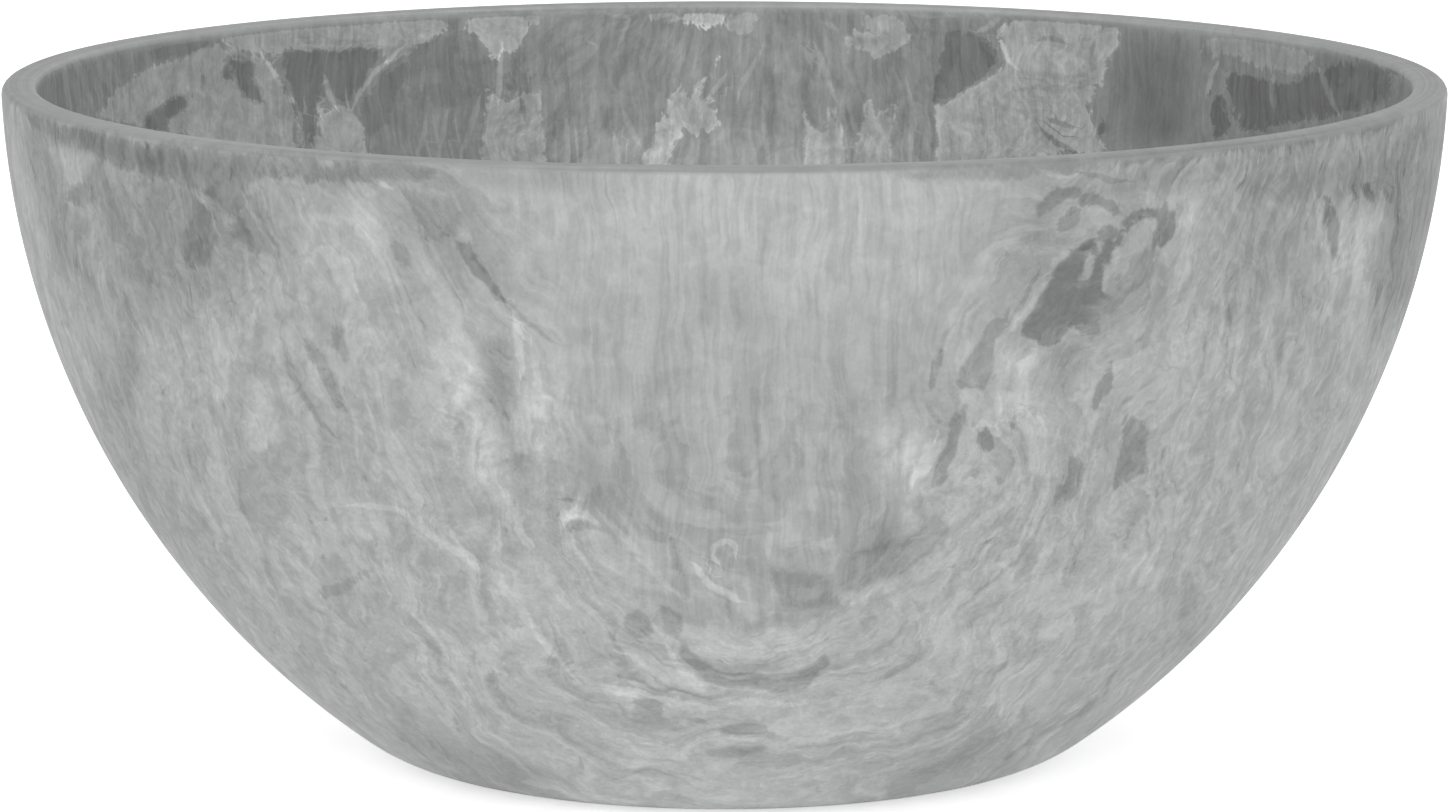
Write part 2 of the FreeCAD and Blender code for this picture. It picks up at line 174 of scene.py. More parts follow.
def latheTree():  # turns a section drawn in XZ, point by point, about Z
    tree = treeOf("turnedBowl", [("Section", "NodeSocketGeometry"), ("Columns", "NodeSocketInt"),
                                 ("Crowd", "NodeSocketFloat"), ("Finish", "NodeSocketMaterial")])
    entry = tree.nodes.new("NodeGroupInput").outputs
    rows = addNode(tree, "GeometryNodeAttributeDomainSize", Geometry=entry["Section"]).outputs["Point Count"]
    columns = maths("ADD", entry["Columns"], 1.0)
    grid = addNode(tree, "GeometryNodeMeshGrid", Vertices_X=columns, Vertices_Y=rows).outputs["Mesh"]
    index = tree.nodes.new("GeometryNodeInputIndex").outputs[0]
    row = maths("MODULO", index, rows)
    column = maths("FLOOR", maths("DIVIDE", maths("ADD", index, 0.5), rows))
    place = tree.nodes.new("GeometryNodeInputPosition").outputs[0]
    sample = addNode(tree, "GeometryNodeSampleIndex", {"data_type": "FLOAT_VECTOR", "domain": "POINT"},
                     Geometry=entry["Section"], Value=place, Index=row)
    point = parts(sample.outputs[0])
    even = maths("MULTIPLY", maths("DIVIDE", column, entry["Columns"]), 2 * math.pi)
    sway = maths("SINE", maths("MULTIPLY", even, 2.0))
    turn = maths("SUBTRACT", even, times(sway, entry["Crowd"], 0.5))
    x = maths("MULTIPLY", point["X"], maths("SINE", turn))
    y = maths("MULTIPLY", point["X"], maths("COSINE", turn))
    turned = joined(x, y, point["Z"])
    weld = 1e-6  # m, between points that meet where the turn closes
    steps = [("SetPosition", {"Position": turned}), ("MergeByDistance", {"Distance": weld}),
             ("SetShadeSmooth", {}), ("RealizeInstances", {}), ("SetMaterial", {"Material": entry["Finish"]})]
    shape = grid
    for step, values in steps:
        shape = addNode(tree, "GeometryNode" + step, Geometry=shape, **values).outputs[0]
    plug(tree.nodes.new("NodeGroupOutput").inputs[0], shape)
    return tree


def turnBowl(form, finish):
    loop = bowlSection(form)
    section = bpy.data.meshes.new("bowlSection")
    section.from_pydata([(r / 1000, 0, z / 1000) for r, z in loop], [], [])
    bowl = bpy.data.objects.new("planter_bowl", section)
    scene.collection.objects.link(bowl)
    tree = latheTree()
    lathe = bowl.modifiers.new("lathe", "NODES")
    lathe.node_group = tree
    sockets = {item.name: item.identifier for item in tree.interface.items_tree if item.in_out == "INPUT"}
    lathe[sockets["Columns"]] = form["columns"]
    lathe[sockets["Crowd"]] = form["crowd"]
    lathe[sockets["Finish"]] = finish
    evaluated = bowl.evaluated_get(bpy.context.evaluated_depsgraph_get())
    mesh = bpy.data.meshes.new_from_object(evaluated)
    bowl.modifiers.clear()
    bowl.data = mesh
    turnOutwards(mesh, form["sharpFrom"])
    print("bowl turned:", len(mesh.vertices), "points,", len(mesh.polygons), "faces")
    return bowl


def turnOutwards(mesh, sharpFrom):  # the foot's faces look down, or the whole shell is flipped
    lowest = min(mesh.polygons, key=lambda face: face.center.z)
    if lowest.normal.z > 0:
        mesh.flip_normals()
    mesh.set_sharp_from_angle(angle=math.radians(sharpFrom))


# Marks that show in the photo, each drawn in the photo's pixels: its tone (dark below 0, pale above),
# how soft it is, and its points. This is how they are drawn
pen = {
    "veinHalf": 0.38,  # half of a vein's width, as a share of its softness
    "letGo": (9, 16),  # pixels beside a vein over which it lets go
    "endGo": 6,  # pixels past its end
    "taper": 0.7,  # how much thinner a line is at its ends
    "glow": 0.7,  # of pale hazes, beside dark ones
    "outsideWander": 2.0,
    "insideWander": 1.2,
    "waves": [(13, 0.7), (7, 2.0), (15, 1.1), (8, 0.0)],  # of the wandering: length and start
    "smallWave": 0.6,
    "leastShare": 0.01,
}

# Areas on the outside, with points round them; a later one is drawn over an earlier one
outsideAreas = {
    # painted shade under the rim's rounding, together with the paste's dark drips hanging from it
    "underRimDarkAndShade": (-0.5, 12, [(15, 102), (60, 122), (97, 133), (120, 140), (200, 145), (330, 160),
        (450, 165), (413, 182), (377, 182), (301, 181), (270, 176), (247, 181), (245, 207), (232, 212),
        (209, 199), (183, 184), (142, 171), (112, 166), (71, 148), (35, 128)]),
    # a thin band of painted shade under the rim's rounding
    "underRimShadeLine": (-0.5, 12, [(890, 172), (1000, 164), (1090, 156), (1180, 147), (1300, 132), (1400, 110),
        (1400, 124), (1300, 147), (1180, 160), (1090, 170), (1000, 179), (930, 181)]),
    "wedge": (-0.45, 10, [(196, 200), (209, 210), (216, 238), (210, 268), (186, 271), (185, 243)]),
    "wedgeNext": (-0.4, 9, [(242, 205), (257, 222), (275, 243), (283, 258), (257, 253), (229, 233)]),
    "blotFarLeft": (-0.5, 8, [(68, 186), (94, 183), (94, 197), (82, 208), (70, 200)]),
    "paleFarLeft": (0.4, 10, [(36, 142), (95, 152), (94, 176), (60, 195), (40, 180)]),
    "dashLeft": (-0.55, 7, [(305, 336), (314, 342), (324, 356), (334, 374), (343, 396), (348, 412),
        (340, 410), (328, 392), (316, 368), (308, 350)]),
    "dashLeftNext": (-0.6, 7, [(337, 322), (345, 330), (350, 346), (352, 366), (345, 364), (339, 346),
        (335, 332)]),
    "commaHead": (-0.5, 12, [(396, 184), (452, 196), (462, 240), (424, 240)]),
    "commaNeck": (-0.8, 8, [(450, 230), (470, 246), (487, 268), (502, 296), (507, 306), (494, 298),
        (478, 282), (462, 258)]),
    "commaSide": (-0.4, 9, [(389, 242), (413, 244), (412, 268), (398, 268)]),
    "featherBody": (-0.9, 7, [(1113, 224), (1098, 230), (1086, 244), (1071, 258), (1056, 272), (1044, 289),
        (1035, 304), (1027, 319), (1019, 334), (1032, 341), (1050, 347), (1062, 340), (1068, 328),
        (1080, 320), (1090, 312), (1102, 296), (1112, 280), (1124, 262), (1128, 250), (1117, 240)]),
    "featherDusk": (-0.45, 10, [(1134, 258), (1153, 247), (1158, 262), (1152, 280), (1138, 287),
        (1120, 300), (1106, 318), (1104, 306), (1118, 284)]),
    "featherSkirt": (-0.5, 9, [(1086, 306), (1107, 296), (1100, 313), (1099, 333), (1083, 334)]),
    "featherHead": (-0.85, 7, [(1167, 201), (1174, 214), (1174, 233), (1167, 247), (1153, 250), (1157, 229),
        (1158, 216)]),
    "featherArch": (-0.75, 7, [(1158, 212), (1142, 210), (1127, 216), (1116, 228), (1109, 247), (1115, 250),
        (1123, 236), (1132, 226), (1143, 220), (1158, 221)]),
    "featherBrow": (-0.62, 8, [(1031, 220), (1038, 206), (1046, 195), (1056, 188), (1072, 186), (1088, 189),
        (1101, 194), (1111, 203), (1121, 213), (1116, 217), (1104, 208), (1096, 203), (1084, 203),
        (1070, 200), (1058, 204), (1048, 213), (1034, 224)]),
    "featherBrowBody": (-0.6, 7, [(1068, 204), (1080, 204), (1075, 224), (1066, 233), (1058, 230),
        (1056, 222)]),
    "featherPale": (0.45, 7, [(1102, 229), (1112, 231), (1102, 251), (1093, 269), (1081, 291), (1076, 290),
        (1082, 268), (1091, 248)]),
    "featherPaleFinger": (0.45, 7, [(1117, 248), (1127, 250), (1117, 272), (1104, 289), (1097, 292),
        (1105, 272)]),
    "featherPaleEdge": (0.6, 7, [(1074, 245), (1065, 262), (1049, 281), (1037, 301), (1025, 321),
        (1017, 335), (1012, 333), (1021, 314), (1035, 292), (1049, 271), (1063, 255)]),
    "featherTail": (-0.62, 7, [(1011, 305), (1002, 315), (991, 319), (984, 336), (978, 346), (970, 358),
        (959, 371), (954, 389), (966, 388), (981, 390), (990, 378), (992, 358), (995, 343), (1005, 326)]),
    "featherBarb": (-0.75, 7, [(944, 346), (942, 362), (937, 380), (931, 392), (924, 394), (926, 380),
        (932, 364), (938, 350)]),
    "featherTip": (-0.7, 8, [(968, 406), (966, 428), (958, 448), (950, 464), (945, 482), (934, 490),
        (929, 476), (937, 456), (947, 438), (955, 418)]),
    "palePatchRight": (0.9, 8, [(928, 443), (947, 439), (937, 458), (927, 473), (903, 491), (914, 462)]),
    "eyeRight": (-0.8, 7, [(978, 432), (985, 425), (993, 432), (992, 446), (984, 450), (977, 444)]),
    "dashRight": (-0.85, 7, [(1113, 361), (1112, 378), (1106, 396), (1098, 412), (1090, 404), (1094, 384),
        (1103, 367)]),
    "shadeRight": (-0.72, 10, [(1128, 413), (1147, 426), (1144, 475), (1110, 491)]),
    "shadeRightNext": (-0.75, 9, [(1070, 452), (1083, 462), (1078, 495), (1052, 512)]),
    "crackRight": (-0.85, 7, [(1321, 197), (1329, 199), (1334, 216), (1340, 240), (1340, 258), (1335, 263),
        (1331, 246), (1324, 222)]),
    "combRightNext": (-0.75, 7, [(1362, 181), (1371, 181), (1375, 196), (1372, 204), (1365, 196)]),
    "dashRow": (-0.5, 7, [(320, 590), (348, 578), (372, 566), (376, 573), (352, 588), (324, 599)]),
    "ring": (1.0, 7, [(556, 531), (559, 517), (573, 508), (590, 511), (602, 527), (595, 530), (587, 520),
        (575, 517), (566, 522), (562, 532)]),
    "ringDark": (-0.7, 7, [(565, 530), (571, 522), (581, 521), (591, 528), (585, 533), (571, 534)]),
    "loopBlot": (-0.65, 9, [(660, 608), (680, 616), (676, 640), (664, 632)]),
    "loopBlotNext": (-0.6, 9, [(626, 611), (640, 609), (650, 634), (637, 641), (624, 628)]),
    "hookShade": (-0.65, 10, [(670, 540), (680, 555), (686, 580), (674, 570)]),
    "loopDark": (-0.75, 8, [(684, 643), (703, 659), (737, 672), (777, 679), (800, 673), (827, 655),
        (833, 662), (806, 685), (777, 693), (735, 687), (700, 675), (680, 654)]),
    "flapShade": (-0.5, 13, [(768, 568), (835, 575), (840, 606), (785, 608)]),
    "flapComb": (-0.5, 12, [(838, 560), (870, 548), (905, 532), (940, 515), (946, 530), (930, 552),
        (900, 572), (868, 588), (842, 596)]),
    "bottomDash": (-0.65, 7, [(720, 725), (744, 723), (768, 727), (768, 735), (742, 737), (722, 733)]),
    "bottomBlot": (-0.55, 7, [(708, 748), (738, 746), (768, 749), (766, 756), (736, 757), (709, 755)]),
}

# Thin veins on the outside, with points along them
outsideVeins = {
    "specFarLeft": (0.5, 9, [(66, 200), (72, 205)]),
    "specLeft": (0.6, 9, [(202, 202), (208, 205)]),
    "specRimLeft": (0.7, 9, [(380, 184), (391, 190)]),
    "speckLeft": (-0.68, 7, [(228, 291), (230, 300)]),
    "speckLeftUpper": (-0.55, 7, [(260, 267), (263, 273)]),
    "dashFarLeft": (-0.64, 7, [(122, 294), (135, 322), (146, 336)]),
    "dashFarLeftUpper": (-0.42, 7, [(150, 266), (152, 286)]),
    "slantLeft": (-0.55, 11, [(284, 342), (291, 378), (304, 398), (336, 436)]),
    "commaLine": (-0.38, 7, [(500, 296), (530, 322), (560, 345)]),
    "commaSideLow": (-0.42, 7, [(388, 280), (402, 312)]),
    "paleTail": (0.7, 13, [(512, 302), (521, 340), (519, 375)]),
    "featherSkirtNext": (-0.42, 7, [(1148, 284), (1142, 316)]),
    "browLine": (-0.5, 8, [(1078, 169), (1104, 176), (1130, 184)]),
    "browLinePale": (0.45, 8, [(1040, 172), (1056, 178), (1070, 176)]),
    "featherEdge": (-0.5, 7, [(1041, 271), (1028, 290), (1018, 307), (1008, 324)]),
    "featherBarbThin": (-0.42, 7, [(955, 326), (947, 339), (940, 354)]),
    "curlRight": (-0.51, 7, [(1024, 404), (1037, 410), (1039, 420)]),
    "curlRightNext": (-0.51, 7, [(1016, 413), (1013, 429)]),
    "eyeCap": (0.5, 9, [(975, 425), (985, 421), (995, 425)]),
    "speckRight": (-0.51, 7, [(1166, 367), (1174, 364)]),
    "speckRightUpper": (-0.51, 7, [(1206, 330), (1205, 350)]),
    "dashRightUpper": (-0.51, 7, [(1228, 308), (1233, 334)]),
    "specksRight": (-0.42, 7, [(1284, 340), (1275, 378)]),
    "specksRightLow": (-0.51, 7, [(1172, 482), (1178, 488)]),
    "specksFarRight": (-0.42, 7, [(1235, 462), (1237, 478)]),
    "crackPale": (0.5, 8, [(1313, 192), (1319, 222), (1322, 252)]),
    "slitRight": (-0.55, 7, [(1385, 188), (1389, 202)]),
    "lacePale": (0.22, 9, [(1330, 276), (1350, 262), (1372, 268)]),
    "lacePaleLow": (0.25, 9, [(1316, 300), (1336, 318), (1330, 340)]),
    "combRight": (-0.51, 7, [(1353, 186), (1356, 200)]),
    "edgeFarRight": (-0.55, 7, [(1402, 146), (1396, 209), (1392, 282)]),
    "veinLeft": (0.5, 13, [(350, 504), (400, 511), (443, 544), (500, 579), (543, 640), (579, 683)]),
    "lineFarLeft": (-0.42, 7, [(236, 476), (261, 551), (282, 597)]),
    "blotAboveRing": (-0.64, 7, [(561, 500), (578, 504)]),
    "loopBlotLow": (-0.55, 7, [(604, 628), (626, 656)]),
    "loopDash": (-0.59, 7, [(652, 677), (668, 690)]),
    "loopPaleLeft": (0.4, 12, [(600, 512), (628, 540), (655, 572), (684, 600)]),
    "hookPale": (0.7, 12, [(695, 563), (706, 577), (722, 588), (742, 602)]),
    "hookCurl": (0.75, 9, [(736, 556), (733, 545), (722, 540), (712, 546), (711, 557), (720, 563)]),
    "flapShadeEnd": (-0.47, 7, [(940, 520), (948, 508)]),
    "loopPale": (0.4, 12, [(664, 647), (690, 680), (722, 698), (764, 706), (800, 702)]),
    "paleStreakMiddle": (0.3, 9, [(766, 530), (768, 562)]),
    "paleStreakRight": (0.3, 9, [(830, 535), (832, 556)]),
    "lineRight": (-0.55, 7, [(1048, 515), (1016, 561), (977, 594)]),
    "dashRightFlank": (-0.59, 7, [(998, 531), (984, 543)]),
    "dashRightFlankLow": (-0.47, 7, [(1084, 529), (1070, 574)]),
    "bottomDashLeft": (-0.55, 7, [(682, 718), (708, 722)]),
    "bottomSpeck": (-0.68, 7, [(582, 760), (583, 772)]),
    "bottomArch": (-0.47, 7, [(611, 776), (646, 769), (700, 779)]),
    "flankBand": (-0.6, 9, [(1122, 667), (1095, 697), (1048, 733), (1004, 760)]),
}

# Soft hazes on the outside, along their points, or within them where the last is the first
outsideHazes = {
    # painted shade: soft dark bands just under the rim's rounding, left and right, not at the middle
    "underRimShade": (-0.7, 18, [(15, 112), (60, 134), (130, 156), (200, 168), (270, 174)]),
    "underRimShadeNext": (-0.45, 15, [(250, 172), (400, 176), (520, 178), (620, 182)]),
    "underRimShadeRight": (-0.55, 20, [(1000, 194), (1120, 184), (1240, 166), (1340, 146), (1440, 112)]),
    "underRimShadeFarRight": (-0.75, 18, [(1230, 172), (1340, 150), (1440, 108), (1436, 180), (1380, 205),
        (1240, 210), (1230, 172)]),
    "duskLeft": (-0.55, 30, [(70, 150), (240, 178), (300, 195), (270, 270), (190, 320), (110, 310),
        (70, 150)]),
    "duskFarLeft": (-0.6, 14, [(15, 118), (60, 142), (78, 205), (100, 300), (60, 262), (15, 118)]),
    "paleLeft": (0.3, 24, [(300, 212), (372, 212), (385, 275), (330, 300), (300, 212)]),
    "paleLeftLow": (0.2, 20, [(215, 330), (240, 400), (300, 460)]),
    "commaHaze": (-0.3, 24, [(380, 185), (490, 190), (530, 300), (440, 290), (400, 240), (380, 185)]),
    "commaTail": (-0.6, 14, [(500, 335), (498, 400), (510, 440), (524, 468)]),
    "paleMiddleLeft": (0.8, 19, [(440, 325), (468, 368), (452, 425)]),
    "paleMiddle": (0.7, 18, [(545, 372), (530, 420), (545, 465)]),
    "paleTopMiddle": (0.12, 45, [(640, 240), (760, 255), (930, 240)]),
    "featherHaze": (-0.3, 30, [(1010, 200), (1170, 188), (1200, 300), (1090, 350), (1000, 330),
        (1010, 200)]),
    "featherBrowShade": (-0.6, 15, [(1056, 196), (1038, 226), (1036, 262)]),
    "featherUnder": (-0.45, 14, [(1086, 330), (1060, 360), (1040, 392)]),
    "paleBesideFeather": (0.5, 18, [(1000, 350), (1030, 372)]),
    "paleUnderFeather": (0.45, 22, [(990, 400), (1050, 420)]),
    "paleRightTop": (0.2, 22, [(1180, 190), (1195, 260), (1180, 320)]),
    "duskRight": (-0.42, 22, [(1205, 180), (1320, 172), (1312, 300), (1226, 312), (1205, 180)]),
    "duskFarRight": (-0.8, 16, [(1384, 132), (1444, 105), (1440, 200), (1410, 300), (1380, 330),
        (1376, 200), (1384, 132)]),
    "paleFarRight": (0.5, 14, [(1346, 205), (1388, 205), (1384, 262), (1330, 290), (1346, 205)]),
    "duskUnderVein": (-0.5, 16, [(420, 556), (445, 562)]),
    "flapShadeLeft": (-0.5, 14, [(580, 440), (590, 480), (612, 512)]),
    "flapShadeRight": (-0.5, 14, [(856, 552), (880, 540), (912, 528)]),
    "loopPaleUpper": (0.45, 14, [(730, 650), (780, 655), (830, 640)]),
    "bottomDuskLeft": (-0.6, 24, [(385, 725), (440, 750), (480, 775), (545, 785)]),
    "bottomDuskRight": (-0.6, 22, [(850, 790), (900, 778), (980, 762), (1050, 730)]),
    "flankDusk": (-0.35, 18, [(1110, 705), (1050, 752)]),
    "flankPale": (0.2, 36, [(980, 640), (1045, 615)]),
    "lowPaleLeft": (0.15, 40, [(360, 640), (470, 690)]),
    "paleRightMiddle": (0.7, 22, [(895, 405), (902, 500)]),
    "paleLeftMiddle": (0.8, 20, [(480, 395), (484, 500)]),
    "duskSideLeft": (-0.35, 24, [(130, 270), (118, 400), (150, 500), (200, 545)]),
    "duskFlankRight": (-0.4, 18, [(1195, 580), (1175, 650)]),
    "duskUnderFlap": (-0.4, 16, [(880, 575), (915, 560)]),
    "duskMiddleRight": (-0.35, 18, [(1114, 440), (1104, 500)]),
    "duskTopRight": (-0.3, 24, [(1185, 240), (1250, 290), (1190, 300)]),
    "paleFlankRight": (0.5, 24, [(1110, 550), (1112, 590)]),
    "paleLoopLeft": (0.7, 24, [(610, 680), (640, 705)]),
    "duskTopFlap": (-0.2, 40, [(690, 290), (770, 290)]),
}

# The same at the top of the inside's back, where pale paste lies over smooth dark
insideAreas = {
    "leftPaste": (0.6, 7, [(98, 118), (116, 91), (150, 66), (189, 56), (211, 45), (247, 52), (268, 62),
        (284, 84), (294, 104), (300, 136), (306, 149), (247, 147), (179, 136), (143, 127)]),
    "leftBlot": (-0.7, 7, [(144, 117), (159, 106), (174, 97), (189, 96), (189, 106), (175, 115), (167, 119),
        (167, 131), (143, 129)]),
    "leftEye": (-0.6, 7, [(222, 69), (228, 58), (240, 49), (240, 61), (233, 75), (223, 83)]),
    "leftEyeNext": (-0.65, 7, [(235, 75), (243, 58), (252, 60), (256, 79), (265, 92), (262, 104),
        (250, 100), (239, 87)]),
    "leftTopDark": (-0.35, 8, [(148, 50), (150, 41), (212, 31), (210, 43), (194, 55), (152, 60)]),
    "topPaste": (0.75, 7, [(214, 30), (284, 22), (374, 16), (442, 12), (450, 26), (432, 38), (414, 44),
        (404, 58), (388, 66), (380, 52), (362, 47), (284, 52), (275, 59), (256, 50), (225, 48)]),
    "wedge": (-0.6, 7, [(281, 51), (362, 47), (379, 51), (371, 68), (352, 101), (339, 103), (329, 84),
        (324, 74), (324, 90), (327, 108), (317, 103), (315, 128), (313, 151), (306, 151), (302, 119),
        (295, 95), (286, 70)]),
    "veinPool": (0.75, 7, [(318, 104), (326, 113), (340, 103), (354, 103), (358, 119), (365, 127),
        (362, 142), (372, 156), (314, 152), (317, 128)]),
    "besideVein": (-0.42, 7, [(357, 117), (364, 101), (387, 70), (405, 64), (407, 75), (398, 101),
        (387, 124), (366, 142), (360, 124)]),
    "dome": (-0.25, 8, [(405, 62), (416, 44), (446, 35), (478, 44), (487, 66), (480, 94), (450, 112),
        (427, 96), (409, 98)]),
    "blob": (0.9, 7, [(470, 12), (523, 8), (522, 16), (530, 26), (525, 40), (517, 52), (504, 52), (496, 62),
        (484, 48), (478, 38), (466, 30)]),
    "blobNext": (0.5, 7, [(524, 10), (551, 8), (550, 17), (537, 25), (527, 22)]),
    "besideStem": (-0.4, 7, [(507, 56), (516, 50), (517, 86), (512, 98), (507, 88)]),
    "stemFoot": (0.7, 7, [(491, 92), (511, 103), (519, 94), (544, 90), (544, 118), (547, 164), (481, 164),
        (483, 119)]),
    "topLight": (1.5, 7, [(679, 9), (723, 9), (731, 24), (709, 26), (684, 26)]),
    "topLightLeft": (0.6, 7, [(644, 10), (682, 10), (682, 22), (656, 22)]),
    "topLightRight": (0.5, 7, [(723, 10), (761, 11), (753, 38), (729, 28)]),
    "flame": (0.85, 7, [(720, 54), (702, 79), (698, 88), (690, 95), (684, 86), (670, 104), (660, 122),
        (648, 144), (638, 166), (668, 166), (680, 127), (694, 139), (716, 123), (714, 94), (702, 101),
        (701, 88), (709, 76)]),
    "plume": (0.6, 7, [(842, 42), (853, 33), (873, 33), (860, 26), (865, 19), (880, 13), (885, 8),
        (897, 13), (905, 20), (912, 31), (909, 40), (896, 43), (885, 54), (874, 58), (856, 52), (844, 50)]),
    "poolLeft": (0.6, 7, [(803, 108), (815, 133), (825, 124), (832, 101), (835, 116), (841, 143),
        (850, 166), (804, 166)]),
    "poolRight": (0.6, 7, [(855, 166), (855, 138), (865, 120), (862, 106), (872, 104), (876, 124),
        (881, 108), (887, 116), (895, 88), (897, 105), (894, 134), (892, 162)]),
    "darkRound": (-0.65, 7, [(945, 38), (954, 31), (972, 35), (990, 42), (996, 58), (988, 73), (974, 85),
        (956, 98), (934, 102), (936, 76), (941, 54)]),
    "swirl": (0.85, 7, [(1001, 30), (1017, 15), (1037, 18), (1066, 13), (1093, 15), (1118, 26), (1115, 47),
        (1108, 63), (1099, 89), (1090, 107), (1093, 126), (1108, 150), (1077, 152), (936, 164), (936, 107),
        (956, 100), (970, 89), (988, 78), (1003, 66), (998, 45)]),
    "rightDeep": (-0.9, 8, [(1212, 92), (1226, 96), (1228, 136), (1210, 138)]),
    "rightEnd": (-0.8, 9, [(1226, 72), (1290, 84), (1330, 66), (1380, 60), (1412, 90), (1330, 118),
        (1240, 130)]),
    "rightBand": (0.5, 7, [(1203, 37), (1231, 33), (1282, 40), (1310, 56), (1305, 72), (1259, 67),
        (1235, 56), (1217, 61), (1203, 51)]),
}

insideVeins = {
    "leftEyeSmall": (-0.8, 8, [(203, 74), (204, 88)]),
    "topSwirl": (-0.4, 8, [(285, 36), (310, 31), (322, 38)]),
    "topSwirlNext": (-0.3, 8, [(300, 44), (340, 40), (372, 42)]),
    "veinLeft": (0.9, 8, [(258, 52), (275, 75), (290, 96), (300, 118), (302, 149)]),
    "veinLeftEdge": (-0.7, 8, [(279, 76), (284, 88), (293, 104), (295, 116), (292, 146)]),
    "veinMiddle": (0.9, 8, [(324, 74), (329, 92), (339, 108)]),
    "veinMiddleLow": (0.7, 8, [(317, 102), (322, 116)]),
    "veinRight": (0.9, 8, [(404, 46), (378, 70), (364, 88), (352, 110)]),
    "domeStreak": (0.45, 8, [(424, 66), (422, 92)]),
    "domeStreakLow": (0.5, 8, [(427, 114), (416, 156)]),
    "domeStreakNext": (0.45, 8, [(446, 112), (438, 156)]),
    "domeStreakRight": (0.5, 8, [(482, 96), (472, 122), (460, 156)]),
    "stem": (1.0, 8, [(500, 46), (500, 74), (500, 104)]),
    "stemFootEye": (-0.7, 8, [(521, 97), (525, 118)]),
    "besideStemFoot": (-0.5, 8, [(556, 112), (553, 140)]),
    "topDiagonal": (0.6, 8, [(634, 14), (624, 28), (618, 44)]),
    "topThread": (0.6, 8, [(600, 11), (630, 15)]),
    "topSpeck": (0.6, 8, [(586, 41), (592, 43)]),
    "speckMiddle": (0.5, 8, [(529, 68), (530, 80)]),
    "flameNext": (0.75, 8, [(726, 73), (710, 97)]),
    "flameFar": (0.6, 8, [(761, 49), (755, 63), (743, 83), (738, 100)]),
    "streakThin": (0.4, 8, [(594, 86), (594, 120)]),
    "streakThinNext": (0.45, 8, [(622, 106), (630, 132), (640, 146)]),
    "streakFoot": (0.6, 8, [(566, 120), (567, 164)]),
    "streakFootNext": (0.5, 8, [(584, 128), (586, 164)]),
    "streakFootRight": (0.6, 8, [(612, 130), (620, 164)]),
    "streakShort": (0.6, 8, [(800, 44), (814, 68)]),
    "streakDown": (0.6, 8, [(812, 42), (829, 78), (838, 102)]),
    "plumeNext": (0.7, 8, [(914, 13), (947, 18)]),
    "plumeLeft": (0.5, 8, [(824, 20), (838, 32)]),
    "betweenPools": (-0.6, 8, [(846, 108), (849, 146)]),
    "streakPast": (0.6, 8, [(908, 80), (912, 107), (909, 158)]),
    "streakPastNext": (0.45, 8, [(925, 112), (930, 158)]),
    "tuft": (0.75, 8, [(1005, 10), (992, 25), (974, 32)]),
    "swirlRidge": (0.8, 8, [(1001, 38), (1004, 56), (1014, 68)]),
    "swirlShade": (-0.7, 8, [(1036, 42), (1052, 38), (1066, 44)]),
    "swirlArc": (-0.3, 8, [(1010, 66), (1030, 74), (1055, 78), (1084, 75), (1104, 56)]),
    "swirlArcLow": (-0.35, 8, [(1012, 90), (1044, 88), (1062, 92), (1092, 84)]),
    "swirlArcLast": (-0.3, 8, [(986, 100), (1020, 112), (1050, 112)]),
    "swirlEye": (-1.1, 8, [(1046, 120), (1060, 124), (1076, 127)]),
    "swirlLine": (-1.0, 8, [(1038, 129), (1055, 143), (1078, 152)]),
    "swirlSpeck": (-0.8, 8, [(1102, 121), (1101, 134)]),
    "rightVein": (0.85, 8, [(1216, 64), (1207, 95)]),
    "rightThread": (0.7, 8, [(1273, 74), (1274, 110)]),
    "rightThreadNext": (0.85, 8, [(1318, 68), (1340, 116)]),
}

insideHazes = {
    "rightStreaks": (-0.5, 14, [(1126, 40), (1190, 50), (1190, 140), (1122, 140), (1126, 40)]),
    "middleLight": (0.35, 45, [(560, 20), (880, 15), (900, 150), (560, 150), (560, 20)]),
    "columnLight": (0.5, 32, [(685, 20), (690, 150)]),
    "lowLight": (1.0, 24, [(560, 150), (700, 146), (830, 148), (930, 152)]),
    "leftLight": (0.2, 30, [(150, 100), (300, 100), (300, 140), (180, 130), (150, 100)]),
}

outsideMarks = {"areas": outsideAreas, "veins": outsideVeins, "hazes": outsideHazes}
insideMarks = {"areas": insideAreas, "veins": insideVeins, "hazes": insideHazes}


def photoPixels(x, y, z):  # where points (mm) fall in the photo
    pitch = math.radians(photo["pitchDown"])
    away = y + photo["distance"]
    above = z - photo["cameraHeight"]
    depth = away * math.cos(pitch) - above * math.sin(pitch)
    lift = away * math.sin(pitch) + above * math.cos(pitch)
    return (photo["width"] / 2 + photo["focalPixels"] * x / depth,
            photo["height"] / 2 - photo["focalPixels"] * lift / depth)


def measureTo(line, px, py):  # how far off a line points are, on which side, how far along and past it
    away = np.full(px.shape, np.inf)
    along, side, past = np.zeros((3, len(px)))
    within = np.zeros(px.shape, bool)
    done = 0.0
    last = len(line) - 2
    for number, ((ax, ay), (bx, by)) in enumerate(zip(line[:-1], line[1:])):
        dx, dy = bx - ax, by - ay
        step = math.hypot(dx, dy)
        share = ((px - ax) * dx + (py - ay) * dy) / step ** 2
        t = np.clip(share, 0, 1)
        gap = np.hypot(px - ax - t * dx, py - ay - t * dy)
        nearer = gap < away
        before = np.clip(-share, 0, None) if number == 0 else 0
        beyond = np.clip(share - 1, 0, None) if number == last else 0
        along = np.where(nearer, done + t * step, along)
        side = np.where(nearer, np.sign(dx * (py - ay) - dy * (px - ax)), side)
        past = np.where(nearer, step * (before + beyond), past)
        away = np.minimum(away, gap)
        done += step
        if dy != 0:
            within ^= ((ay > py) != (by > py)) & (px < ax + dx * (py - ay) / dy)
    return {"away": away, "side": side, "along": along / done, "past": past, "within": within}


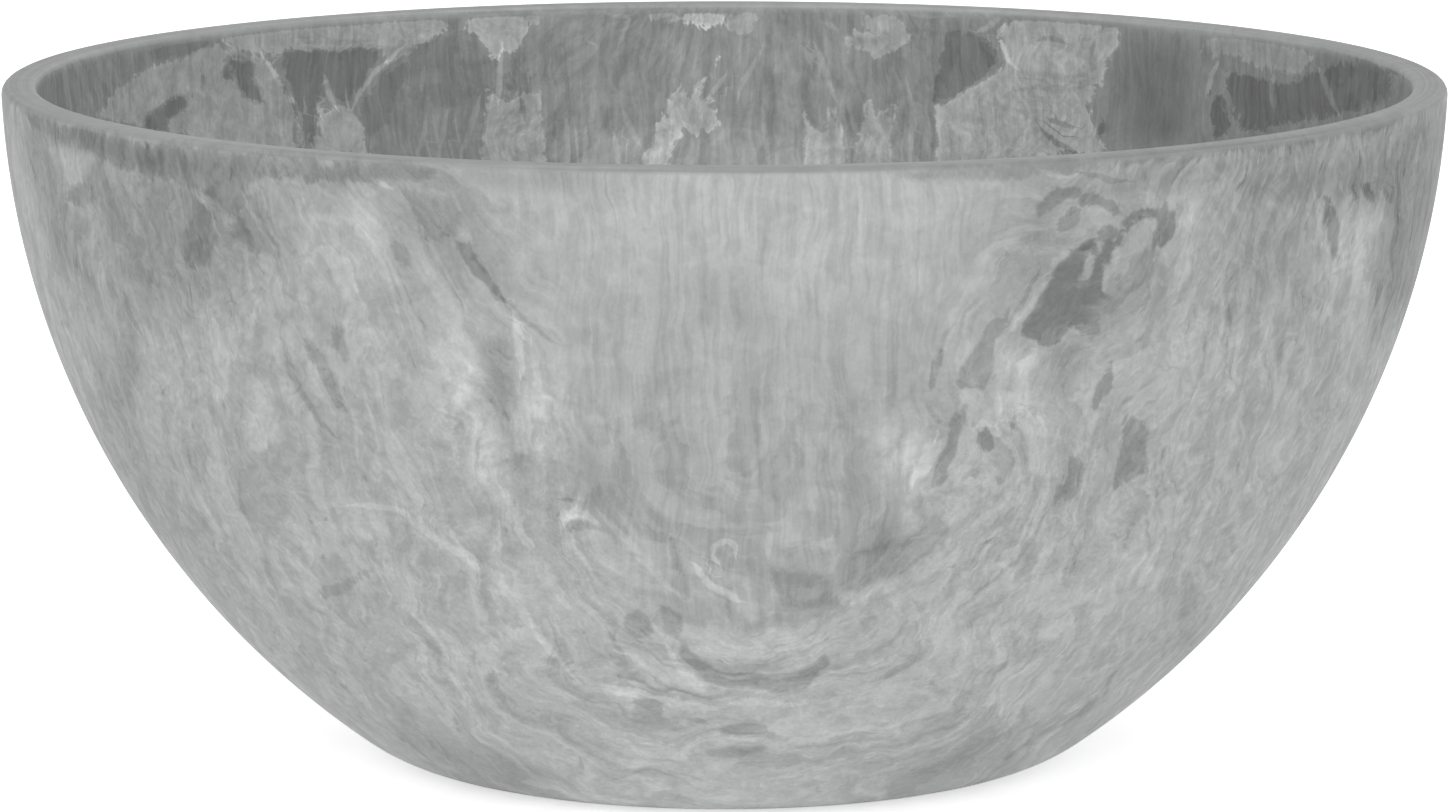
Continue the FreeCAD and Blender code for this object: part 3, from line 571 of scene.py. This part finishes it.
def wandered(px, py, reach):  # a drawing hand's unsteadiness
    (across, acrossFrom), (slant, slantFrom), (down, downFrom), (counter, counterFrom) = pen["waves"]
    small = pen["smallWave"]
    wanderX = np.sin(py / across + acrossFrom) + small * np.sin((px - py) / slant + slantFrom)
    wanderY = np.sin(px / down + downFrom) + small * np.sin((px + py) / counter + counterFrom)
    return px + reach * wanderX, py + reach * wanderY


def areaLevel(near, soft):  # 0.5 on the line round an area, 1 well inside it
    depth = np.where(near["within"], near["away"], -near["away"])
    return np.clip(0.5 + depth / (2 * soft), 0, 1)


def tapered(near):
    return 1 - pen["taper"] * np.abs(2 * near["along"] - 1) ** 3


def drawMarks(marks, px, py, reach):  # what a side's marks leave at points of the photo
    px, py = wandered(px, py, reach)
    dark, pale, darkTone, paleTone, dusk, glow, offset, hold, veinTone = np.zeros((9, len(px)))
    for tone, soft, line in marks["areas"].values():  # a later one cuts into an earlier one
        level = areaLevel(measureTo(line + line[:1], px, py), soft)
        if tone < 0:
            darkTone = np.where(level > dark, -tone, darkTone)
            dark, pale = np.maximum(dark, level), np.minimum(pale, 1 - level)
        else:
            paleTone = np.where(level > pale, tone, paleTone)
            pale, dark = np.maximum(pale, level), np.minimum(dark, 1 - level)
    nearest = np.full(len(px), np.inf)
    for tone, soft, line in marks["veins"].values():
        near = measureTo(line, px, py)
        away, past = near["away"], near["past"]
        nearer = (away < nearest) & (away < pen["letGo"][1]) & (past < pen["endGo"])
        nearest = np.where(nearer, away, nearest)
        half = pen["veinHalf"] * soft * tapered(near)
        offset = np.where(nearer, near["side"] * away / half, offset)
        held = (1 - smooth(away, *pen["letGo"])) * (1 - smooth(past, 0, pen["endGo"]))
        hold = np.where(nearer, held, hold)
        veinTone = np.where(nearer, tone, veinTone)
    for tone, soft, line in marks["hazes"].values():
        near = measureTo(line, px, py)
        closed = line[0] == line[-1]
        level = areaLevel(near, soft) if closed else np.exp(-(near["away"] / soft) ** 2) * tapered(near)
        dusk = np.maximum(dusk, -tone * level)
        glow = np.maximum(glow, pen["glow"] * tone * level)
    return {"dark": dark, "pale": pale, "haze": glow - dusk, "hold": hold, "darkTone": darkTone,
            "paleTone": paleTone, "offset": offset, "veinTone": veinTone}


def addMarks(drawn, share, marks):  # levels fade with the share, tones and offsets stay as drawn
    for name, values in marks.items():
        before = drawn.get(name, 0.0)
        if name in ("dark", "pale", "haze", "hold"):
            drawn[name] = before + share * values
        else:
            drawn[name] = np.where(share > pen["leastShare"], values, before)


# How the paste ran in the mould, outside: streaks hang from the rim and lean in towards the middle of each
# sector, a flap of straight streaks hangs there, and the paste turns under it in nested loops (mm, degrees)
pasteFlow = {
    "sectors": [  # middle, which way it is drawn, and how far from its middle it fades
        (0.0, 1, (80.0, 94.0)),
        (132.0, -1, (36.0, 54.0)),
        (228.0, -1, (36.0, 54.0)),
    ],
    "loopMiddle": 5.5,  # to the right of a sector's middle
    "loopTop": 92.0,  # height where the loops begin
    "loopSquash": 0.8,
    "flapReach": (30.0, 38.0),
    "leanFrom": 84.0,
    "leanSpan": 56.0,
    "lean": 0.03,
    "leastWeight": 1e-3,
    "leanMost": [(0.5, -62.0, 34.0), (0.75, 72.0, 36.0)],  # how much more, where and over what reach
    "slope": 0.25,
    "calmHeight": (92.0, 112.0),  # the flap is calm above this
    "calmReach": (32.0, 62.0),
    "insideFrom": (1.2, 3.0),  # below the rim
    "rimFrom": (1.5, 0.5),
    "cornerReach": 12.0,  # how far past the foot the inside's corner is looked for
    "skin": 0.6,
    "frontFade": (0.05, 0.25),  # the inside's marks fade at its sides
    "seenDown": 152,  # row of the photo below which the inside's marks are drawn out downwards
    "runDown": 0.12,
    "insideFade": (48.0, 118.0),
}


def sectorFlow(angle, height, radius, flow):  # mm across and along the streaks, and off the loops' middle
    u = np.radians(angle) * radius - flow["loopMiddle"]
    lean = flow["lean"] + sum(most * np.exp(-((u - at) / reach) ** 2) for most, at, reach in flow["leanMost"])
    rise = np.clip((height - flow["leanFrom"]) / flow["leanSpan"], 0, None)
    hang = u / (1 + lean * rise ** 2)
    drop = np.clip(flow["loopTop"] - height, 0, None) * flow["loopSquash"]
    return np.sqrt(hang ** 2 + drop ** 2), height + flow["slope"] * u, u


def isHollow(radius, z, form, flow):  # on the inside of the wall, or above the floor
    cx, cz = wallCentre(form)
    hollow = np.hypot(radius - cx, z - cz) < form["wallArc"] - form["wall"] / 2
    low = (z < form["insideArc"] + form["floor"]) & (radius < form["footRadius"] + flow["cornerReach"])
    return np.where(low, z > form["floor"] - flow["skin"], hollow)


def marbleBowl(mesh, form, flow):  # stores the flow and the marks on the bowl's points
    count = len(mesh.vertices)
    points = np.empty(count * 3, np.float32)
    mesh.vertices.foreach_get("co", points)
    x, y, z = (points.reshape(-1, 3) * 1000).T.astype(float)
    radius = np.hypot(x, y)
    angle = np.degrees(np.arctan2(x, -y))  # 0 faces the camera, right is positive
    hollow = isHollow(radius, z, form, flow)
    inside = hollow * smooth(form["height"] - z, *flow["insideFrom"])
    rim = smooth(z, *(form["height"] - drop for drop in flow["rimFrom"]))
    flows = np.zeros((4, count))
    weights = np.full(count, flow["leastWeight"])
    drawn = {}
    for middle, hand, fade in flow["sectors"]:
        turned = ((angle - middle + 180) % 360 - 180) * hand
        weight = 1 - smooth(np.abs(turned), *fade)
        across, along, plumb = sectorFlow(turned, z, radius, flow)
        flap = 1 - smooth(across, *flow["flapReach"])
        flows += weight * np.stack([across, along, plumb, flap])
        weights += weight
        turn = np.radians(turned)
        pixels = photoPixels(radius * np.sin(turn), -radius * np.cos(turn), z)
        addMarks(drawn, weight * (1 - inside), drawMarks(outsideMarks, *pixels, pen["outsideWander"]))
    side = np.where(y > 0, 1, -1)  # the inside's front repeats its back, turned half round
    backness = smooth(np.abs(y) / radius, *flow["frontFade"]) * inside
    reach = smooth(z, *flow["insideFade"])
    px, py = photoPixels(x * side, np.abs(y), z)
    py = np.minimum(py, flow["seenDown"] + flow["runDown"] * (py - flow["seenDown"]))
    addMarks(drawn, backness * reach, drawMarks(insideMarks, px, py, pen["insideWander"]))
    across, along, plumb, flap = flows / weights
    calm = smooth(z, *flow["calmHeight"]) * (1 - smooth(np.abs(plumb), *flow["calmReach"]))
    plumb = np.where(hollow, np.arctan2(x, np.abs(y)) * radius, plumb)
    storeVector(mesh, "pasteFlow", across, along, plumb)
    storeVector(mesh, "pasteMarks", drawn["dark"], drawn["pale"], drawn["haze"])
    storeVector(mesh, "pasteZones", inside, np.maximum(flap, inside), calm)
    storeVector(mesh, "pasteEdge", rim, drawn["darkTone"], drawn["paleTone"])
    storeVector(mesh, "pasteVeins", drawn["offset"], drawn["hold"], drawn["veinTone"])
    kinds = [*outsideMarks.values(), *insideMarks.values()]
    print("bowl marbled:", sum(len(kind) for kind in kinds), "drawn marks")


def storeVector(mesh, name, a, b, c):
    attribute = mesh.attributes.new(name, "FLOAT_VECTOR", "POINT")
    attribute.data.foreach_set("vector", np.stack([a, b, c], 1).astype(np.float32).ravel())


def newMaterial(name):
    material = bpy.data.materials.new(name)
    material.use_nodes = True
    tree = material.node_tree
    shader = tree.nodes["Principled BSDF"]
    return material, tree, shader


def noise(vector, scale, detail=3.0, roughness=0.5, distortion=0.0, w=None):
    node = vector.id_data.nodes.new("ShaderNodeTexNoise")
    node.noise_dimensions = "3D" if w is None else "4D"
    for label, value in (("Vector", vector), ("Scale", scale), ("Detail", detail), ("Roughness", roughness),
                         ("Distortion", distortion)):
        plug(node.inputs[label], value)
    if w is not None:
        plug(node.inputs["W"], w)
    return node.outputs


def ramp(value, low, high, fromLow=0.0, toHigh=1.0):  # a smooth step between two levels
    node = value.id_data.nodes.new("ShaderNodeMapRange")
    node.interpolation_type = "SMOOTHSTEP"
    for socket, number in zip(node.inputs, (value, low, high, fromLow, toHigh)):
        plug(socket, number)
    return node.outputs[0]


def spread(value, gain):  # noise about 0.5 to about 0
    return maths("MULTIPLY", maths("SUBTRACT", value, 0.5), gain)


def total(*values):
    return functools.reduce(functools.partial(maths, "ADD"), values)


def times(*values):
    return functools.reduce(functools.partial(maths, "MULTIPLY"), values)


def size(value):
    return maths("ABSOLUTE", value)


def less(value):  # what is left of 1
    return maths("SUBTRACT", 1.0, value)


def blend(share, first, second):  # first at 0, second at 1
    node = share.id_data.nodes.new("ShaderNodeMix")
    for number, value in ((0, share), (2, first), (3, second)):
        plug(node.inputs[number], value)
    return node.outputs[0]


def vectorMaths(tree, operation, *values):
    node = addNode(tree, "ShaderNodeVectorMath", {"operation": operation})
    for socket, value in zip(node.inputs, values):
        plug(socket, value)
    return node


def parts(vector):
    return addNode(vector.id_data, "ShaderNodeSeparateXYZ", Vector=vector).outputs


def joined(x, y, z):
    return addNode(x.id_data, "ShaderNodeCombineXYZ", X=x, Y=y, Z=z).outputs[0]


def stored(tree, name):
    return parts(addNode(tree, "ShaderNodeAttribute", {"attribute_name": name}).outputs["Vector"])


def dressShader(shader, level, tint, rough, height, strength, depth):  # colour, roughness and bumps
    red, green, blue = (times(level, share) for share in tint)
    colour = addNode(shader.id_data, "ShaderNodeCombineColor", Red=red, Green=green, Blue=blue)
    bump = addNode(shader.id_data, "ShaderNodeBump", Height=height, Strength=strength, Distance=depth)
    plug(shader.inputs["Base Color"], colour.outputs[0])
    plug(shader.inputs["Roughness"], rough)
    plug(shader.inputs["Normal"], bump.outputs[0])


# The bowl's paste: tones as the eye reads them, 0 black to 1 white, and lengths in mm. A pair is for the
# outside and the inside, or from and to, and four values are a step: from and to, and its levels there
paste = {
    "tone": 0.668,
    "insideTone": 0.6,
    "rimTone": 0.59,
    "lipHighlight": (147.4, 149.4, 0.075, 0.0),  # a painted highlight: the rim's inner rounding is paler, where it catches the light
    # painted light: the lower outside is paler, standing in for light bounced up off the floor
    "paintedBounceLifts": [(20.0, 100.0, 0.055, 0.0), (0.0, 34.0, 0.1, 0.0), (0.0, 12.0, 0.075, 0.0)],
    "bounceLiftFrom": (54.0, 68.0),  # off the axis, so the painted bounce light makes the foot paler beside but not under it
    "flapTone": (100.0, 132.0, -0.03, 0.0),
    "tint": (0.982, 1.0, 0.992),
    "darkest": 0.02,
    "gamma": 2.2,
    "darkDepth": (-0.155, -0.14),
    "paleLift": (0.085, 0.14),
    "wide": (1 / 30, 2.0, 0.5),  # bends of the flow: noise scale, detail and roughness
    "small": (1 / 6, 3.0, 0.55),
    "wander": {"across": (26.0, 5.0), "along": (40.0, 9.0), "plumb": (9.0, 2.5), "upright": (30.0, 6.0)},
    "drawnOut": {  # noise along the flow: width, length, seed, detail and roughness
        "streak": (2.6, 28.0, 3.1, 3.0, 0.55),
        "fine": (0.9, 9.0, 17.7, 2.0, 0.5),
        "patch": (8.0, 22.0, 41.3, 4.0, 0.6),
        "palePatch": (8.0, 22.0, 63.9, 4.0, 0.6),
        "dash": (1.6, 4.0, 88.2, 1.0, 0.4),
        "blotch": (5.0, 13.0, 29.3, 4.0, 0.62),
        "curd": (3.6, 10.0, 51.6, 3.0, 0.5),
    },
    "loopDepth": 1 / 40,
    "hangDepth": 1 / 120,
    "loopLength": 0.55,  # streaks are shorter in the loops, and thinner where they hang
    "hangWidth": 0.75,
    "mottle": (1 / 5.5, 5.0, 0.62, 0.6),  # noise that lies anyhow: scale, detail, roughness and distortion
    "swirl": (1 / 6.0, 4.0, 0.6, 2.2),
    "curdle": (1 / 1.5, 3.0, 0.6, 1.2),
    "grain": (1 / 0.8, 2.0, 0.5),
    "bends": (1 / 15.0, 2.0, 0.5),  # curling lines: what bends them, how far, and their width and length
    "bend": 34.0,
    "curl": (2.2, 7.0),
    "curlDetail": (3.0, 0.55),
    "contrast": {"streak": 0.2, "fine": 0.12, "mottle": 0.16, "grain": 0.035, "curdle": 0.13, "curl": 0.07,
                 "loops": 0.16, "haze": 0.17, "vein": 0.115, "thread": 0.03, "dash": -0.07},
    "blotch": (0.055, 0.02),  # where it is busy and where it is calm
    "blotchEdge": (0.43, 0.57),
    "ragged": (1.8, 1.0, 1.3),  # edges of the paste's own patches, by streak, fine streak and mottle
    "crisp": {"streak": (0.9, 0.4), "fine": (0.6, 0.15), "swirl": (0.35, 1.0), "curl": (0.0, 1.2)},
    "markNear": (0.0, 0.3),
    "markEdge": (0.36, 0.64),
    "markMottle": 0.9,
    "patchGain": 1.2,
    "patchEdge": (0.24, 1.05),
    "giveWay": -0.5,  # a patch gives way to marks of the other kind
    "palePatchRagged": -0.7,
    "patchesInside": (98.0, 118.0, 0.8, 0.0),  # below the marks that are drawn there
    "veinRough": 1.4,
    "veinEdge": (0.5, 1.3, 1.0, 0.0),
    "worked": (1.2, 2.2),  # swirl and curl in pale paste inside
    "outlineAt": -0.66,  # a paler line at the edges of that paste
    "outline": (0.0, 0.16, 0.045, 0.0),
    "hazeMottle": (1.5, 1.2),
    "threadMiddle": 0.5,
    "threadEdge": (0.0, 0.05, 1.0, 0.0),
    "threadWhere": (0.42, 0.62),
    "quiet": -0.8,  # how much less happens in the flap
    "dashMottle": 0.25,
    "dashEdge": (0.66, 0.78),
    "loopsAside": (45.0, 85.0, 1.0, 0.0),
    "loopsBelow": (30.0, 70.0, 1.0, 0.0),
    "upper": (70.0, 118.0),
    "upperQuiet": -0.35,
    "flank": (60.0, 100.0),
    "flankQuiet": -0.6,
    "flankCurl": 1.6,
    "rimHighlightLines": (1.3, 1 / 70),  # painted highlight lines along the rim, paler and darker, per mm across and along
    "rimHighlightLineDetail": (2.0, 0.5),
    "rimMottle": 0.14,
    "rimHighlightLine": 0.16,
    # on the rim, some of the dark marks: partly the paste's dark, partly painted shade at the rim's sides
    "rimDarkAndShade": 0.45,
    "roughness": 0.62,
    "roughMottle": 0.12,
    "roughDark": -0.06,
    "specular": 0.3,
    "bumps": (0.25, 0.5, 0.4),  # grain, mottle and fine streak
    "bump": 0.12,
    "bumpDepth": 0.0004,  # m
}


def pasteMaterial(look):
    material, tree, shader = newMaterial("marbledPaste")
    inMm = vectorMaths(tree, "SCALE", tree.nodes.new("ShaderNodeTexCoord").outputs["Object"])
    plug(inMm.inputs["Scale"], 1000.0)
    place = inMm.outputs[0]
    axes = parts(place)
    flow, marks, zones = stored(tree, "pasteFlow"), stored(tree, "pasteMarks"), stored(tree, "pasteZones")
    inside, straight, calm = zones["X"], zones["Y"], zones["Z"]
    edge, veins = stored(tree, "pasteEdge"), stored(tree, "pasteVeins")
    outside = less(inside)
    contrast = look["contrast"]

    # the flow wanders, in wide bends and small ones, least where the streaks hang straight
    wide = parts(noise(place, *look["wide"])["Color"])
    small = parts(noise(place, *look["small"])["Color"])

    def wander(value, name, wideAxis, smallAxis):
        most, least = look["wander"][name]
        return total(value, spread(wide[wideAxis], most), spread(small[smallAxis], least))

    across = wander(flow["X"], "across", "X", "X")
    along = wander(flow["Y"], "along", "Y", "Y")
    plumb = wander(flow["Z"], "plumb", "X", "Y")
    upright = wander(axes["Z"], "upright", "Y", "X")

    def looped(width, length, seed, detail, roughness):
        depth = maths("MULTIPLY_ADD", axes["X"], look["loopDepth"], seed)
        vector = joined(times(across, 1 / width), times(along, 1 / length), depth)
        return noise(vector, 1.0, detail, roughness, w=times(axes["Y"], look["loopDepth"]))["Fac"]

    def hanging(width, length, seed, detail, roughness):
        vector = joined(times(plumb, 1 / width), times(upright, 1 / length), seed)
        return noise(vector, 1.0, detail, roughness, w=times(axes["Y"], look["hangDepth"]))["Fac"]

    def streaks(width, length, *rest):
        return blend(straight, looped(width, length * look["loopLength"], *rest),
                     hanging(width * look["hangWidth"], length, *rest))

    drawnOut = look["drawnOut"]
    streak, fine = (streaks(*drawnOut[name]) for name in ("streak", "fine"))
    patch, palePatch, dash, blotch, curd = (looped(*drawnOut[name]) for name in (
        "patch", "palePatch", "dash", "blotch", "curd"))
    mottle, swirl, curdle, grain = (noise(place, *look[name])["Fac"] for name in (
        "mottle", "swirl", "curdle", "grain"))
    width, length = look["curl"]
    bends = noise(place, *look["bends"])["Color"]
    bent = vectorMaths(tree, "MULTIPLY_ADD", bends, (look["bend"],) * 3, place)
    curled = vectorMaths(tree, "MULTIPLY", bent.outputs[0], (1 / width, 1 / width, 1 / length))
    curl = noise(curled.outputs[0], 1.0, *look["curlDetail"])["Fac"]

    ragged = total(*(spread(layer, gain) for layer, gain in zip((streak, fine, mottle), look["ragged"])))
    layers = {"streak": streak, "fine": fine, "swirl": swirl, "curl": curl}
    crisp = total(*(spread(layers[name], blend(inside, *gains)) for name, gains in look["crisp"].items()))
    free = maths("MAXIMUM", outside, ramp(axes["Z"], *look["patchesInside"]))

    def edged(level, tone, other, patchiness, raggedness):  # a drawn mark, or a patch of the paste's own
        rough = times(crisp, ramp(level, *look["markNear"]))
        drawn = times(ramp(total(level, rough), *look["markEdge"]), tone,
                      total(1.0, spread(mottle, look["markMottle"])))
        own = total(spread(patchiness, look["patchGain"]), times(other, look["giveWay"]),
                    times(ragged, raggedness))
        return maths("MAXIMUM", drawn, times(ramp(own, *look["patchEdge"]), free))

    darkness = edged(marks["X"], edge["Y"], marks["Y"], patch, 1.0)
    paleness = edged(marks["Y"], edge["Z"], marks["X"], palePatch, look["palePatchRagged"])
    swirled, curling = look["worked"]
    worked = total(1.0, times(inside, total(spread(swirl, swirled), spread(curl, curling))))
    border = size(total(marks["Y"], crisp, look["outlineAt"]))
    outline = times(ramp(border, *look["outline"]), edge["Z"], inside)
    offset = total(veins["X"], spread(fine, look["veinRough"]), spread(swirl, look["veinRough"]))
    vein = times(ramp(size(offset), *look["veinEdge"]), veins["Y"], veins["Z"])
    hazeMottle, hazeStreak = look["hazeMottle"]
    haze = times(marks["Z"], total(1.0, spread(mottle, hazeMottle), spread(streak, hazeStreak)))
    busy = maths("MULTIPLY_ADD", maths("MAXIMUM", calm, straight), look["quiet"], 1.0)
    thread = ramp(size(maths("SUBTRACT", curd, look["threadMiddle"])), *look["threadEdge"])
    threads = times(thread, busy, ramp(mottle, *look["threadWhere"]))
    dashes = times(ramp(total(dash, spread(mottle, look["dashMottle"])), *look["dashEdge"]), busy)

    looping = times(ramp(axes["Z"], *look["loopsBelow"]), ramp(size(plumb), *look["loopsAside"]))
    upper = times(ramp(axes["Z"], *look["upper"]), less(calm), outside)
    flank = times(ramp(size(plumb), *look["flank"]), outside)
    lively = total(1.0, times(upper, look["upperQuiet"]), times(flank, look["flankQuiet"]))
    dark = times(darkness, blend(inside, *look["darkDepth"]))
    pale = times(paleness, worked, blend(inside, *look["paleLift"]))
    reach = maths("SQRT", total(times(axes["X"], axes["X"]), times(axes["Y"], axes["Y"])))
    # painted bounce light: the outside is paler low down, though not under the foot
    paintedBounce = total(*(ramp(axes["Z"], *lift) for lift in look["paintedBounceLifts"]))
    low = total(look["tone"], times(paintedBounce, ramp(reach, *look["bounceLiftFrom"])))
    tone = total(blend(inside, low, look["insideTone"]),
                 times(lively, total(spread(streak, contrast["streak"]), spread(fine, contrast["fine"]))),
                 spread(mottle, contrast["mottle"]), spread(grain, contrast["grain"]),
                 spread(ramp(blotch, *look["blotchEdge"]), blend(calm, *look["blotch"])),
                 times(spread(curdle, contrast["curdle"]), busy, lively),
                 times(spread(curl, contrast["curl"]), busy, total(outside, times(flank, look["flankCurl"]))),
                 times(straight, ramp(axes["Z"], *look["flapTone"]), outside),
                 times(spread(streak, contrast["loops"]), looping), dark, pale, times(haze, contrast["haze"]),
                 times(vein, contrast["vein"]), outline, times(threads, contrast["thread"]),
                 times(dashes, contrast["dash"]))
    # painted highlight lines: fine paler and darker lines stretched along the rim
    highlightAcross, highlightAlong = look["rimHighlightLines"]
    ring = joined(times(reach, highlightAcross), times(axes["X"], highlightAlong), times(axes["Z"], highlightAcross))
    highlightLines = noise(ring, 1.0, *look["rimHighlightLineDetail"])["Fac"]
    # on the rim, some of the dark marks: partly the paste's dark, partly painted shade at the rim's sides
    rimTone = total(look["rimTone"], spread(mottle, look["rimMottle"]), spread(highlightLines, look["rimHighlightLine"]),
                    times(dark, look["rimDarkAndShade"]), ramp(reach, *look["lipHighlight"]))
    # the rim's tone, with its painted highlight on the inner edge, is laid over the rim
    tone = blend(edge["X"], tone, rimTone)
    level = maths("POWER", maths("MAXIMUM", tone, look["darkest"]), look["gamma"])
    rough = total(look["roughness"], spread(mottle, look["roughMottle"]), times(darkness, look["roughDark"]))
    height = total(*(times(layer, share) for layer, share in zip((grain, mottle, fine), look["bumps"])))
    plug(shader.inputs["Specular IOR Level"], look["specular"])
    dressShader(shader, level, look["tint"], rough, height, look["bump"], look["bumpDepth"])
    return material


bowlFinish = pasteMaterial(paste)
bowl = turnBowl(bowlForm, bowlFinish)
marbleBowl(bowl.data, bowlForm, pasteFlow)
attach(bowl, "bowl")
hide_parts("bowl")

# The watering disk's moulded plastic and the plug's rubber, lengths in mm
diskLook = {"tone": 0.045, "variation": 0.3, "roughness": 0.48, "grainSize": 0.35, "bump": 0.25}
plugLook = {"tone": 0.03, "variation": 0.25, "roughness": 0.7, "grainSize": 0.6, "bump": 0.15}
mouldLook = {  # what both share; a noise has its scale per m, detail, roughness and distortion
    "cloud": (30.0, 4.0, 0.6),
    "grain": (2.0, 0.6),
    "scuff": (180.0, 6.0, 0.7, 1.5),
    "scuffEdge": (0.58, 0.74),
    "scuffTone": 0.25,
    "scuffRough": 0.15,
    "scuffBump": 0.3,
    "cloudRough": 0.15,
    "tint": (1.0, 1.03, 1.05),
    "bumpDepth": 0.0002,
}


def mouldedMaterial(name, look, mould):
    material, tree, shader = newMaterial(name)
    place = tree.nodes.new("ShaderNodeTexCoord").outputs["Object"]
    cloud = noise(place, *mould["cloud"])["Fac"]
    grain = noise(place, 1000 / look["grainSize"], *mould["grain"])["Fac"]
    scuffed = ramp(noise(place, *mould["scuff"])["Fac"], *mould["scuffEdge"])
    worn = total(1.0, spread(cloud, look["variation"]), times(scuffed, mould["scuffTone"]))
    tone = times(worn, look["tone"])
    rough = total(look["roughness"], spread(cloud, mould["cloudRough"]), times(scuffed, mould["scuffRough"]))
    height = total(grain, times(scuffed, mould["scuffBump"]))
    dressShader(shader, tone, mould["tint"], rough, height, look["bump"], mould["bumpDepth"])
    return material


def finishNode(node, material):
    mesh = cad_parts[node].data
    mesh.materials.clear()
    mesh.materials.append(material)


finishNode("watering_disk", mouldedMaterial("charcoalPlastic", diskLook, mouldLook))
finishNode("drain_plug", mouldedMaterial("blackRubber", plugLook, mouldLook))
print("disk and plug finished")

# A white floor that keeps a soft shadow, isn't there from below, and is open under the foot, so that light
# reaches the foot and the plug can be pulled (m)
stage = {"size": 12.0, "albedo": 0.9, "roughness": 0.9, "glow": 0.6, "opening": 0.058}


def seenDirectly(tree):  # 1 for what the camera sees, also in a reflection or through something
    rays = tree.nodes.new("ShaderNodeLightPath").outputs
    return total(rays["Is Camera Ray"], rays["Is Glossy Ray"], rays["Is Transmission Ray"])


def makeFloor(look):
    half = look["size"] / 2
    corners = [(-half, -half, 0), (half, -half, 0), (half, half, 0), (-half, half, 0)]
    mesh = bpy.data.meshes.new("floor")
    mesh.from_pydata(corners, [], [(0, 1, 2, 3)])
    floor = bpy.data.objects.new("floor", mesh)
    scene.collection.objects.link(floor)
    material, tree, shader = newMaterial("whiteFloor")
    plug(shader.inputs["Base Color"], (look["albedo"], look["albedo"], look["albedo"], 1))
    plug(shader.inputs["Roughness"], look["roughness"])
    plug(shader.inputs["Specular IOR Level"], 0.0)
    plug(shader.inputs["Emission Color"], (1, 1, 1, 1))
    plug(shader.inputs["Emission Strength"], times(seenDirectly(tree), look["glow"]))
    clear = tree.nodes.new("ShaderNodeBsdfTransparent").outputs[0]
    under = tree.nodes.new("ShaderNodeNewGeometry").outputs["Backfacing"]
    reach = vectorMaths(tree, "LENGTH", tree.nodes.new("ShaderNodeTexCoord").outputs["Object"])
    opening = maths("LESS_THAN", reach.outputs["Value"], look["opening"])
    mix = tree.nodes.new("ShaderNodeMixShader")
    for socket, value in zip(mix.inputs, (maths("MAXIMUM", under, opening), shader.outputs[0], clear)):
        plug(socket, value)
    plug(tree.nodes["Material Output"].inputs["Surface"], mix.outputs[0])
    mesh.materials.append(material)


makeFloor(stage)

# Soft studio light: an even surround, a broad lamp before and above the bowl, and a low one before it (W, m)
light = {
    "surround": 0.78,
    "key": {"power": 7.0, "size": 1.4, "place": (-0.25, -1.9, 1.3)},
    "fill": {"power": 8.0, "size": 1.0, "place": (0.1, -1.9, 0.25)},
}


def lightScene(look):
    world = bpy.data.worlds.new("studio")
    world.use_nodes = True
    scene.world = world
    tree = world.node_tree
    surround = tree.nodes["Background"]
    plug(surround.inputs["Color"], (1, 1, 1, 1))
    strength = total(look["surround"], times(seenDirectly(tree), 1 - look["surround"]))
    plug(surround.inputs["Strength"], strength)
    for name in ("key", "fill"):
        lamp = bpy.data.lights.new(name, "AREA")
        lamp.energy = look[name]["power"]
        lamp.size = look[name]["size"]
        box = bpy.data.objects.new(name, lamp)
        scene.collection.objects.link(box)
        box.location = look[name]["place"]
        box.rotation_euler = (-box.location).to_track_quat("-Z", "Y").to_euler()


lightScene(light)


def placeCamera(view):
    camera = bpy.data.cameras.new("camera")
    camera.sensor_width = view["sensor"]
    camera.lens = view["focalPixels"] / view["width"] * view["sensor"]
    seat = bpy.data.objects.new("camera", camera)
    scene.collection.objects.link(seat)
    seat.location = (0, -view["distance"] / 1000, view["cameraHeight"] / 1000)
    seat.rotation_euler = (math.radians(90 - view["pitchDown"]), 0, 0)
    scene.camera = seat


placeCamera(photo)
print("floor, light and camera placed")
